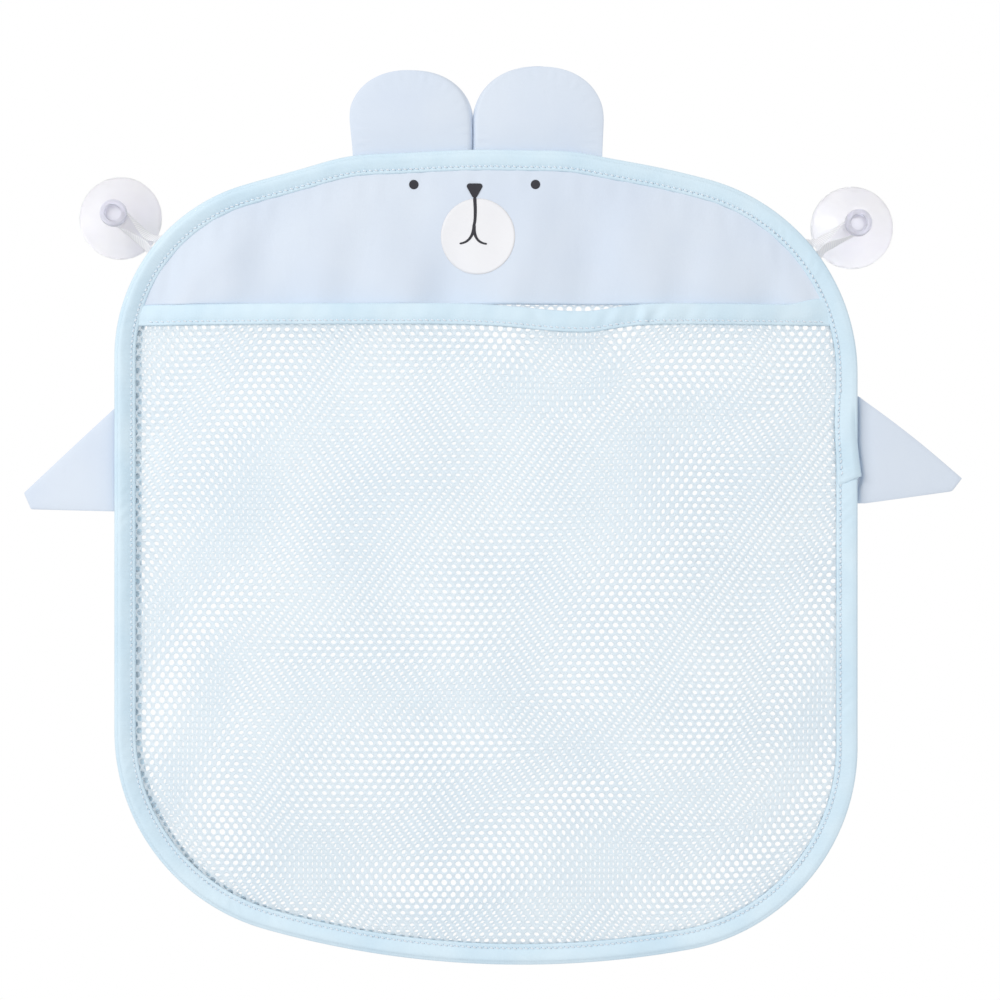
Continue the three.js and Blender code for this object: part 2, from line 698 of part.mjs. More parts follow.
// A cup and its loop, which leaves the edge a little above the line from the shoulder's centre to the cup.
function addCup(name, side) {
  const shoulder = SHOULDERS[name];
  const cup = new THREE.Vector2(side * CUP_X, -side * CUP_RISE);
  const towards = Math.atan2(cup.y - shoulder.z, cup.x - shoulder.x) + (side * LOOP_SHIFT) / shoulder.r;
  const root = new THREE.Vector2(Math.cos(towards), Math.sin(towards)).multiplyScalar(shoulder.r);
  root.add(new THREE.Vector2(shoulder.x, shoulder.z));
  const away = cup.clone().sub(root);
  const reach = away.length() - LOOP_SEAM_OUT;
  const { x: nx, y: nz } = away.normalize();
  const group = seamGroup(root.x, root.y, nx, nz, LOOP_SEAM_OUT);
  const half = STRAND_X + RIBBON_W / 2;
  const foot = -LOOP_SEAM_OUT - LOOP_TUCK;
  const tail = sewnBase([-half, foot], [half, foot], -half, half, RIBBON_T / 2);
  addNode(`${name}_loop_tail`, tail, ribbonWhite, group);
  addNode(`${name}_loop`, ribbonLoop(reach), ribbonWhite, group);
  const turned = new THREE.LatheGeometry(cupProfile(), CUP_SEGMENTS).rotateX(Math.PI);
  addNode(`${name}_suction_cup`, turned, clearPvc).position.set(cup.x, 0, cup.y);
}

addNode("back_net", backNet(), netWhite);
addNode("front_net", frontNet(), netWhite);
addNode("head_panel", headPanel(), periwinkle);
addNode("edge_binding", edgeBinding(), paleCyan);
addNode("mouth_binding", mouthBinding(), paleCyan);

addNode("muzzle", film(ellipsePoints(FACE_X + MUZZLE_SHIFT, MUZZLE_Z, MUZZLE_W, MUZZLE_H), 0), muzzleWhite);
addNode("nose", film(noseOutline(), 1), inkBlack);
addNode("mouth_line", film(mouthOutline(), 1), inkBlack);

for (const [name, side] of [
  ["left", -1],
  ["right", 1],
]) {
  const eyeX = FACE_X + (side * EYE_SPACING) / 2;
  addNode(`${name}_eye`, film(ellipsePoints(eyeX, EYE_Z, 2 * EYE_R, 2 * EYE_R), 0), inkBlack);
  addEar(name, side);
  addHand(name, side);
  addCup(name, side);
}

export default organizer;
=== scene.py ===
"""Bath toy organizer: its net, cloth, tapes, ribbons and cups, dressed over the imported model.

The frame is the model's own: the wall is the plane y = 0, the front faces -Y and +Z is up. The
classes below hold their sizes in millimetres, and a mesh is turned to metres where it is made.
"""

from __future__ import annotations

import logging
import math
from collections.abc import Sequence
from dataclasses import dataclass
from enum import Enum

import bpy
import numpy as np
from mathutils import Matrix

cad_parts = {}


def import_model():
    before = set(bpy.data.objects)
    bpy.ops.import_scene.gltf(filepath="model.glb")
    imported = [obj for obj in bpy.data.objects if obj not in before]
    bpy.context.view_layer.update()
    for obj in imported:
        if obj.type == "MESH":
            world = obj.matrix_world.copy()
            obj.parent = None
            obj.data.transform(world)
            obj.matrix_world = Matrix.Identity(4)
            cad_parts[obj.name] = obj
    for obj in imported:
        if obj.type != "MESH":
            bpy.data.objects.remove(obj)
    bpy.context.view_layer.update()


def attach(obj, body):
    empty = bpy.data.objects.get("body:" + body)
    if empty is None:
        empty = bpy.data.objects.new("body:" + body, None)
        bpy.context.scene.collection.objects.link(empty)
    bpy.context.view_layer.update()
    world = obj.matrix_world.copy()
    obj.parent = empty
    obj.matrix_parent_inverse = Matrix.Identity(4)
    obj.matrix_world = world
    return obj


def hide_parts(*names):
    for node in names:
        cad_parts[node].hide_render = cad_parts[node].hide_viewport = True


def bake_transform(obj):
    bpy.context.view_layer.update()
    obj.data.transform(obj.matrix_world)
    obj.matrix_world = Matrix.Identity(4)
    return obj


MM = 0.001
TAU = 2.0 * math.pi
LOG = logging.getLogger("organizer")

Array = np.ndarray
Point = tuple[float, float, float]
Place = tuple[float, float]
Span = tuple[float, float]
Wave = tuple[float, float, float]


class Body(str, Enum):
    """The moving bodies of the model."""

    BAG = "bag"
    LEFT_EAR = "left_ear"
    RIGHT_EAR = "right_ear"
    LEFT_HAND = "left_hand"
    RIGHT_HAND = "right_hand"
    LEFT_RIBBON = "left_ribbon"
    RIGHT_RIBBON = "right_ribbon"
    LEFT_CUP = "left_cup"
    RIGHT_CUP = "right_cup"


class Slot(str, Enum):
    """The material slots of the record."""

    NET = "net"
    CLOTH = "periwinkle_cloth"
    TAPE = "binding_tape"
    RIBBON = "ribbon"
    WHITE_FILM = "white_film"
    BLACK_FILM = "black_film"
    PVC = "clear_pvc"


class Side(Enum):
    """The two sides of the bag, seen from the front."""

    LEFT = -1
    RIGHT = 1

    @property
    def word(self) -> str:
        """The side's name as it starts the names of nodes and bodies."""
        return self.name.lower()


def smoothstep(low: float, high: float, value: Array) -> Array:
    """The smooth ramp 3t^2 - 2t^3 from 0 at low to 1 at high."""
    t = np.clip((value - low) / (high - low), 0.0, 1.0)
    return t * t * (3.0 - 2.0 * t)


def hump(value: Array, centre: float | Array, width: float | Array) -> Array:
    """A bell of height 1: exp(-((value - centre) / width)^2)."""
    return np.exp(-(((value - centre) / width) ** 2))


def ripple(value: Array, *waves: Wave) -> Array:
    """A sum of sines of the value.

    Args:
        value: Where to take the sum, in millimetres.
        waves: A height, a wavelength in millimetres and a phase in turns for each sine.

    Returns:
        The sum of height * sin(2 pi (value / wavelength + phase)).
    """
    return sum(height * np.sin(TAU * (value / length + phase)) for height, length, phase in waves)


def quarter_round(share: Array) -> Array:
    """A quarter of an ellipse, sqrt(1 - (1 - t)^2), where t is the share held between 0 and 1."""
    t = np.clip(share, 0.0, 1.0)
    return np.sqrt(np.clip(1.0 - (1.0 - t) ** 2, 0.0, 1.0))


def bunched(count: int) -> Array:
    """Places from -1 to 1 that lie closer together towards both ends."""
    return np.sin(np.linspace(-0.5, 0.5, count) * math.pi)


def unit(vectors: Array) -> Array:
    """Rows of vectors, each brought to a length of 1."""
    return vectors / np.linalg.norm(vectors, axis=1, keepdims=True)


def distances(line: Array) -> Array:
    """How far along a line of points each of them lies."""
    return np.concatenate([[0.0], np.cumsum(np.linalg.norm(np.diff(line, axis=0), axis=1))])


@dataclass
class Shape:
    """A mesh in the making: points in millimetres, faces of three or four corners and a flat UV map.

    The UV map is in millimetres of cloth, so a pattern takes its scale from a real thread spacing.
    """

    points: Array
    faces: list[Array]
    uv: Array

    @classmethod
    def grid(cls, points: Array, uv: Array, wrap: bool = False) -> Shape:
        """A surface on a grid of rows and columns.

        Args:
            points: Array of rows x columns x 3.
            uv: Array of rows x columns x 2.
            wrap: Whether the last column joins the first.

        Returns:
            The surface, with one quad between each pair of neighbouring rows and columns.
        """
        rows, columns = points.shape[:2]
        index = np.arange(rows * columns).reshape(rows, columns)
        if wrap:
            index = np.concatenate([index, index[:, :1]], axis=1)
        corners = (index[:-1, :-1], index[:-1, 1:], index[1:, 1:], index[1:, :-1])
        quads = np.stack([corner.ravel() for corner in corners], axis=1)
        return cls(points.reshape(-1, 3), [quads], uv.reshape(-1, 2))

    @classmethod
    def joined(cls, shapes: list[Shape]) -> Shape:
        """Several shapes as one mesh of separate islands."""
        starts = np.cumsum([0] + [len(shape.points) for shape in shapes])
        faces = [face + start for shape, start in zip(shapes, starts) for face in shape.faces]
        points = np.concatenate([shape.points for shape in shapes])
        return cls(points, faces, np.concatenate([shape.uv for shape in shapes]))

    def merged(self, reach: float = 1e-3) -> Shape:
        """The same mesh with points closer than reach made one, and faces that shrink to a line dropped."""
        keys = np.round(self.points / reach).astype(np.int64)
        _, first, inverse = np.unique(keys, axis=0, return_index=True, return_inverse=True)
        inverse = inverse.reshape(-1)
        faces = []
        for face in self.faces:
            corners = inverse[face]
            apart = corners != np.roll(corners, -1, axis=1)
            faces.append(corners[apart.all(axis=1)])
            if corners.shape[1] == 4:
                short = corners[apart.sum(axis=1) == 3]
                keep = apart[apart.sum(axis=1) == 3]
                faces.append(short[keep].reshape(-1, 3))
        return Shape(self.points[first], [face for face in faces if len(face)], self.uv[first])

    def turned_out(self) -> Shape:
        """A closed mesh with its faces pointing outwards, by the sign of its volume."""
        volume = 0.0
        for face in self.faces:
            a = self.points[face[:, 0]]
            for k in range(1, face.shape[1] - 1):
                b, c = self.points[face[:, k]], self.points[face[:, k + 1]]
                volume += float((a * np.cross(b, c)).sum())
        return self if volume > 0 else self.flipped()

    def flipped(self) -> Shape:
        """The same mesh with every face turned round."""
        return Shape(self.points, [face[:, ::-1] for face in self.faces], self.uv)

    def to_object(self, name: str) -> bpy.types.Object:
        """The mesh in metres, smooth shaded, as an object at the origin.

        Args:
            name: The name of the object and its mesh.

        Returns:
            The new object, linked to the scene.
        """
        mesh = bpy.data.meshes.new(name)
        corners = np.concatenate([face.ravel() for face in self.faces]).astype(np.int32)
        counts = np.concatenate([np.full(len(face), face.shape[1]) for face in self.faces])
        starts = np.concatenate([[0], np.cumsum(counts)[:-1]]).astype(np.int32)
        mesh.vertices.add(len(self.points))
        mesh.vertices.foreach_set("co", (self.points * MM).astype(np.float32).ravel())
        mesh.loops.add(len(corners))
        mesh.loops.foreach_set("vertex_index", corners)
        mesh.polygons.add(len(starts))
        mesh.polygons.foreach_set("loop_start", starts)
        mesh.update(calc_edges=True)
        layer = mesh.uv_layers.new(name="cloth")
        layer.data.foreach_set("uv", self.uv[corners].astype(np.float32).ravel())
        mesh.shade_smooth()
        mesh.validate()
        made = bpy.data.objects.new(name, mesh)
        bpy.context.scene.collection.objects.link(made)
        return made


def linear(colour: str) -> tuple[float, float, float, float]:
    """An sRGB hex colour, such as #d2e9f7, as linear red, green, blue and an alpha of 1."""
    parts = [int(colour[i : i + 2], 16) / 255.0 for i in (1, 3, 5)]
    red, green, blue = (c / 12.92 if c <= 0.04045 else ((c + 0.055) / 1.055) ** 2.4 for c in parts)
    return red, green, blue, 1.0


def add(tree: bpy.types.NodeTree, kind: str, inputs: dict | None = None, **settings) -> bpy.types.Node:
    """Adds one node to a tree.

    Args:
        tree: The node tree.
        kind: The node's type.
        inputs: Values for its inputs by name or number; a socket is linked.
        settings: The node's own settings.

    Returns:
        The new node.
    """
    node = tree.nodes.new(kind)
    for key, value in settings.items():
        setattr(node, key, value)
    for key, value in (inputs or {}).items():
        if isinstance(value, bpy.types.NodeSocket):
            tree.links.new(value, node.inputs[key])
        else:
            node.inputs[key].default_value = value
    return node


@dataclass(frozen=True)
class Finish:
    """A real material: its name, its colour and a darker colour, which its random patches drift to and which
    the thread and ribbon also use for painted shade.
    """

    name: str
    colour: str
    shade: str
    roughness: float

    def material(self) -> bpy.types.Material:
        """The Blender material, made once and then shared."""
        made = bpy.data.materials.get(self.name)
        if made is None:
            made = bpy.data.materials.new(self.name)
            made.use_nodes = True
            made.node_tree.nodes.clear()
            made.diffuse_color = linear(self.colour)
            output = add(made.node_tree, "ShaderNodeOutputMaterial")
            made.node_tree.links.new(self.surface(made.node_tree), output.inputs["Surface"])
        return made

    def surface(self, tree: bpy.types.NodeTree) -> bpy.types.NodeSocket:
        """Adds the finish's nodes and returns its shader; each kind of finish has its own."""
        raise NotImplementedError

    def mottle(self, tree: bpy.types.NodeTree, patch: float, amount: float) -> bpy.types.NodeSocket:
        """The colour, drifting to its shade in soft patches.

        Args:
            tree: The material's nodes.
            patch: The usual width of a patch, in millimetres.
            amount: How much of the shade the deepest patch takes.

        Returns:
            The colour's socket.
        """
        where = add(tree, "ShaderNodeTexCoord").outputs["Object"]
        noise = {"Vector": where, "Scale": 1.0 / (patch * MM), "Detail": 3.0, "Roughness": 0.5}
        drift = add(tree, "ShaderNodeTexNoise", noise).outputs["Fac"]
        levels = {"Value": drift, "From Min": 0.35, "From Max": 0.7, "To Max": amount}
        share = add(tree, "ShaderNodeMapRange", levels).outputs["Result"]
        colours = {0: share, 6: linear(self.colour), 7: linear(self.shade)}
        return add(tree, "ShaderNodeMix", colours, data_type="RGBA").outputs[2]

    def uneven(self, tree: bpy.types.NodeTree, grain: float, spread: float) -> bpy.types.NodeSocket:
        """The roughness, varied by spread either way over grains of that width in millimetres."""
        where = add(tree, "ShaderNodeTexCoord").outputs["Object"]
        noise = add(tree, "ShaderNodeTexNoise", {"Vector": where, "Scale": 1.0 / (grain * MM)})
        levels = {
            "Value": noise.outputs["Fac"],
            "To Min": self.roughness - spread,
            "To Max": self.roughness + spread,
        }
        return add(tree, "ShaderNodeMapRange", levels).outputs["Result"]


def wave_scale(length: float) -> float:
    """The Wave node's scale for a wavelength in millimetres of the UV map: its period is tau / 20."""
    return TAU / (20.0 * length)


@dataclass(frozen=True)
class WovenCloth(Finish):
    """Brushed polyester pongee, plain woven: matt, with soft upright creases and a fine thread grain.

    The threads lie about 0.3 mm apart, too fine to show one by one, so only thicker ones are drawn.
    """

    thread: float = 0.5
    slub: float = 8.0
    relief: float = 0.05
    sheen: float = 0.15
    creases_per_metre: Point = (110.0, 110.0, 26.0)

    def surface(self, tree: bpy.types.NodeTree) -> bpy.types.NodeSocket:
        """Long noise along warp and weft adds up to the grain, over creases drawn out upright."""
        uv = add(tree, "ShaderNodeTexCoord").outputs["UV"]
        threads = []
        for scale in ((1.0 / self.thread, 1.0 / self.slub, 1.0), (1.0 / self.slub, 1.0 / self.thread, 1.0)):
            drawn = add(tree, "ShaderNodeMapping", {"Vector": uv, "Scale": scale}).outputs["Vector"]
            noise = add(tree, "ShaderNodeTexNoise", {"Vector": drawn, "Scale": 1.0, "Detail": 1.0})
            threads.append(noise.outputs["Fac"])
        weave = add(tree, "ShaderNodeMath", {0: threads[0], 1: threads[1]}, operation="ADD").outputs[0]
        where = add(tree, "ShaderNodeTexCoord").outputs["Object"]
        upright = add(tree, "ShaderNodeMapping", {"Vector": where, "Scale": self.creases_per_metre})
        creases = {"Vector": upright.outputs["Vector"], "Scale": 1.0, "Detail": 3.0, "Distortion": 0.4}
        crease = add(tree, "ShaderNodeTexNoise", creases).outputs["Fac"]
        soft = add(tree, "ShaderNodeBump", {"Strength": 0.4, "Distance": 0.5 * MM, "Height": crease})
        grain = {"Strength": 0.5, "Distance": self.relief * MM, "Height": weave, "Normal": soft.outputs[0]}
        inputs = {
            "Base Color": self.mottle(tree, patch=46.0, amount=0.4),
            "Roughness": self.uneven(tree, grain=6.0, spread=0.06),
            "Normal": add(tree, "ShaderNodeBump", grain).outputs["Normal"],
            "Sheen Weight": self.sheen,
            "Sheen Roughness": 0.5,
            "Specular IOR Level": 0.25,
        }
        return add(tree, "ShaderNodeBsdfPrincipled", inputs).outputs["BSDF"]


@dataclass(frozen=True)
class RibbedTape(Finish):
    """Woven polyester tape or ribbon: fine ribs across its length and a soft satin face, with shade painted
    into the grooves between the ribs.
    """

    rib: float = 1.2
    relief: float = 0.06
    sheen: float = 0.2
    patch: float = 26.0
    depth: float = 0.5
    # How much of the shade colour is painted into the rib grooves as painted shade; 0 paints none.
    painted_rib_shade: float = 0.0

    def surface(self, tree: bpy.types.NodeTree) -> bpy.types.NodeSocket:
        """Ribs are sines along the tape, which is the U of its map, roughened by short threads; in the
        grooves the colour is drawn towards the shade colour as painted shade.
        """
        uv = add(tree, "ShaderNodeTexCoord").outputs["UV"]
        inputs = {"Vector": uv, "Scale": wave_scale(self.rib), "Distortion": 0.6, "Detail": 1.0}
        ribs = add(tree, "ShaderNodeTexWave", inputs, bands_direction="X").outputs["Fac"]
        stretched = add(tree, "ShaderNodeMapping", {"Vector": uv, "Scale": (0.5, 2.2, 1.0)})
        threads = {"Vector": stretched.outputs["Vector"], "Scale": 1.0, "Detail": 3.0}
        fuzz = add(tree, "ShaderNodeTexNoise", threads).outputs["Fac"]
        coarse = {"Strength": 0.3, "Distance": 0.2 * MM, "Height": fuzz}
        soft = add(tree, "ShaderNodeBump", coarse).outputs["Normal"]
        fine = {"Strength": 0.5, "Distance": self.relief * MM, "Height": ribs, "Normal": soft}
        bump = add(tree, "ShaderNodeBump", fine)
        # Painted shade: the colour darkens in the grooves between the ribs.
        levels = {"Value": ribs, "To Min": self.painted_rib_shade, "To Max": 0.0}
        groove = add(tree, "ShaderNodeMapRange", levels).outputs["Result"]
        even = self.mottle(tree, patch=self.patch, amount=self.depth)
        colours = {0: groove, 6: even, 7: linear(self.shade)}
        inputs = {
            "Base Color": add(tree, "ShaderNodeMix", colours, data_type="RGBA").outputs[2],
            "Roughness": self.uneven(tree, grain=3.0, spread=0.07),
            "Normal": bump.outputs["Normal"],
            "Sheen Weight": self.sheen,
            "Sheen Roughness": 0.4,
            "Specular IOR Level": 0.35,
        }
        return add(tree, "ShaderNodeBsdfPrincipled", inputs).outputs["BSDF"]


@dataclass(frozen=True)
class KnittedNet(Finish):
    """Warp-knitted polyester net: pale filament yarn that lets some light through."""

    filament: float = 0.5
    glow: float = 0.45

    def surface(self, tree: bpy.types.NodeTree) -> bpy.types.NodeSocket:
        """Looped filaments are slanting sines on the flat map; part of the light passes through."""
        uv = add(tree, "ShaderNodeTexCoord").outputs["UV"]
        inputs = {"Vector": uv, "Scale": wave_scale(self.filament), "Distortion": 2.0, "Detail": 2.0}
        loops = add(tree, "ShaderNodeTexWave", inputs, bands_direction="DIAGONAL").outputs["Fac"]
        bump = add(tree, "ShaderNodeBump", {"Strength": 0.5, "Distance": 0.08 * MM, "Height": loops})
        colour = self.mottle(tree, patch=40.0, amount=0.6)
        inputs = {
            "Base Color": colour,
            "Roughness": self.uneven(tree, grain=2.0, spread=0.08),
            "Normal": bump.outputs["Normal"],
            "Specular IOR Level": 0.4,
            "Sheen Weight": 0.1,
        }
        yarn = add(tree, "ShaderNodeBsdfPrincipled", inputs).outputs["BSDF"]
        through = add(tree, "ShaderNodeBsdfTranslucent", {"Color": colour}).outputs["BSDF"]
        mixed = add(tree, "ShaderNodeMixShader", {0: self.glow, 1: yarn, 2: through})
        return mixed.outputs["Shader"]


@dataclass(frozen=True)
class PrintedFilm(Finish):
    """Screen-printed ink film: a thin, slightly glossy layer that the weave shows through."""

    thread: float = 0.8
    relief: float = 0.03

    def surface(self, tree: bpy.types.NodeTree) -> bpy.types.NodeSocket:
        """The cloth's threads press through the ink, whose gloss varies in small patches."""
        uv = add(tree, "ShaderNodeTexCoord").outputs["UV"]
        inputs = {"Vector": uv, "Scale": wave_scale(2.0 * self.thread), "Distortion": 0.5}
        threads = add(tree, "ShaderNodeTexWave", inputs, bands_direction="DIAGONAL").outputs["Fac"]
        relief = {"Strength": 0.4, "Distance": self.relief * MM, "Height": threads}
        bump = add(tree, "ShaderNodeBump", relief)
        inputs = {
            "Base Color": self.mottle(tree, patch=20.0, amount=0.3),
            "Roughness": self.uneven(tree, grain=1.5, spread=0.08),
            "Normal": bump.outputs["Normal"],
            "Specular IOR Level": 0.4,
        }
        return add(tree, "ShaderNodeBsdfPrincipled", inputs).outputs["BSDF"]


@dataclass(frozen=True)
class SewingThread(Finish):
    """Twisted polyester sewing thread: slanting plies, with painted shade towards the ends where a stitch
    goes into the cloth.
    """

    twist: float = 0.45
    painted_shade_from: float = 0.6
    painted_shade_full: float = 1.1

    def surface(self, tree: bpy.types.NodeTree) -> bpy.types.NodeSocket:
        """The plies are slanting sines; the painted shade, which stands in for the shade in the needle holes,
        grows with the distance from the middle of the stitch.
        """
        uv = add(tree, "ShaderNodeTexCoord").outputs["UV"]
        inputs = {"Vector": uv, "Scale": wave_scale(self.twist)}
        plies = add(tree, "ShaderNodeTexWave", inputs, bands_direction="DIAGONAL").outputs["Fac"]
        bump = add(tree, "ShaderNodeBump", {"Strength": 0.6, "Distance": 0.08 * MM, "Height": plies})
        # Painted shade: the thread's colour darkens towards both ends of each stitch, where it goes into the
        # cloth.
        along = add(tree, "ShaderNodeSeparateXYZ", {0: uv}).outputs["X"]
        away = add(tree, "ShaderNodeMath", {0: along}, operation="ABSOLUTE").outputs[0]
        levels = {"Value": away, "From Min": self.painted_shade_from, "From Max": self.painted_shade_full}
        share = add(tree, "ShaderNodeMapRange", levels).outputs["Result"]
        colours = {0: share, 6: linear(self.colour), 7: linear(self.shade)}
        inputs = {
            "Base Color": add(tree, "ShaderNodeMix", colours, data_type="RGBA").outputs[2],
            "Roughness": self.uneven(tree, grain=1.0, spread=0.06),
            "Normal": bump.outputs["Normal"],
            "Sheen Weight": 0.2,
        }
        return add(tree, "ShaderNodeBsdfPrincipled", inputs).outputs["BSDF"]


@dataclass(frozen=True)
class SoftPvc(Finish):
    """Soft clear PVC, injection moulded: see-through with a faint violet haze and a wet shine."""

    ior: float = 1.53
    clear: float = 0.58
    haze: float = 0.8
    scatter: float = 3.0
    thick: str = "#f0f0ff"
    thick_span: Span = (11.0, 18.5)

    def surface(self, tree: bpy.types.NodeTree) -> bpy.types.NodeSocket:
        """Half clear, more violet in the thick knob, with faint flow lines from the mould in its polish."""
        where = add(tree, "ShaderNodeTexCoord").outputs["Object"]
        flow = {"Vector": where, "Scale": 160.0, "Detail": 2.0, "Distortion": 0.8}
        lines = add(tree, "ShaderNodeTexNoise", flow).outputs["Fac"]
        bump = add(tree, "ShaderNodeBump", {"Strength": 0.12, "Distance": 0.3 * MM, "Height": lines})
        uv = add(tree, "ShaderNodeTexCoord").outputs["UV"]
        height = add(tree, "ShaderNodeSeparateXYZ", {0: uv}).outputs["Y"]
        low, high = self.thick_span
        levels = {"Value": height, "From Min": low, "From Max": high}
        share = add(tree, "ShaderNodeMapRange", levels).outputs["Result"]
        colours = {0: share, 6: self.mottle(tree, patch=18.0, amount=0.8), 7: linear(self.thick)}
        inputs = {
            "Base Color": add(tree, "ShaderNodeMix", colours, data_type="RGBA").outputs[2],
            "Roughness": self.uneven(tree, grain=8.0, spread=0.05),
            "Normal": bump.outputs["Normal"],
            "IOR": self.ior,
            "Transmission Weight": self.clear,
            "Subsurface Weight": self.haze,
            "Subsurface Radius": (1.0, 1.0, 1.0),
            "Subsurface Scale": self.scatter * MM,
            "Coat Weight": 0.1,
            "Coat Roughness": 0.15,
        }
        return add(tree, "ShaderNodeBsdfPrincipled", inputs).outputs["BSDF"]


@dataclass(frozen=True)
class PaintedBoard(Finish):
    """Matt painted board for the studio floor, with a faint roller texture."""

    def surface(self, tree: bpy.types.NodeTree) -> bpy.types.NodeSocket:
        """A plain pale face whose roughness drifts a little."""
        inputs = {
            "Base Color": self.mottle(tree, patch=90.0, amount=0.3),
            "Roughness": self.uneven(tree, grain=12.0, spread=0.05),
        }
        return add(tree, "ShaderNodeBsdfPrincipled", inputs).outputs["BSDF"]


CLOTH = WovenCloth("polyester_pongee", "#dfe8f4", "#d2def0", 0.8)
TAPE = RibbedTape("polyester_binding_tape", "#dceffa", "#c6e1f2", 0.62)
NET = KnittedNet("warp_knitted_net", "#ebf3f8", "#e0ebf3", 0.6)
# The ribbon's shade colour is mostly painted shade in its rib grooves, set by the last argument.
RIBBON = RibbedTape("grosgrain_ribbon", "#fefeff", "#e5e4ed", 0.5, 1.0, 0.08, depth=0.03, painted_rib_shade=0.6)
WHITE_INK = PrintedFilm("white_screen_ink", "#f2f2f5", "#eaebf0", 0.55)
BLACK_INK = PrintedFilm("black_screen_ink", "#25252d", "#303039", 0.5)
# The thread's shade colour is painted shade at the ends of each stitch.
THREAD = SewingThread("polyester_thread", "#eaf2f9", "#7f9bb9", 0.6)
PVC = SoftPvc("soft_clear_pvc", "#fbfaff", "#f2f1fb", 0.42)
FLOOR = PaintedBoard("matt_painted_board", "#eef0f2", "#e4e7ea", 0.8)


@dataclass(frozen=True)
class CornerArc:
    """An arc of the outline: a long one, or a corner tangent to a straight side and to a long one."""

    x: float
    z: float
    radius: float
    lean: float


@dataclass(frozen=True)
class SideRun:
    """A straight side, walked from one height to another; turn is its outward normal's angle."""

    x: float
    begin: float
    end: float
    turn: float

    @property
    def length(self) -> float:
        """The length of the walk."""
        return abs(self.end - self.begin)

    def at(self, share: Array) -> tuple[Array, Array]:
        """The points at shares of the walk, and the angles of their outward normals."""
        z = self.begin + (self.end - self.begin) * share
        return np.stack([np.full(share.shape, self.x), z], axis=1), np.full(share.shape, self.turn)


@dataclass(frozen=True)
class ArcRun:
    """An arc, walked from one angle to another."""

    arc: CornerArc
    begin: float
    end: float

    @property
    def length(self) -> float:
        """The length of the walk."""
        return self.arc.radius * (self.end - self.begin)

    def at(self, share: Array) -> tuple[Array, Array]:
        """The points at shares of the walk, and the angles of their outward normals."""
        turn = self.begin + (self.end - self.begin) * share
        way = np.stack([np.cos(turn), np.sin(turn)], axis=1)
        return np.array([self.arc.x, self.arc.z]) + self.arc.radius * way, turn


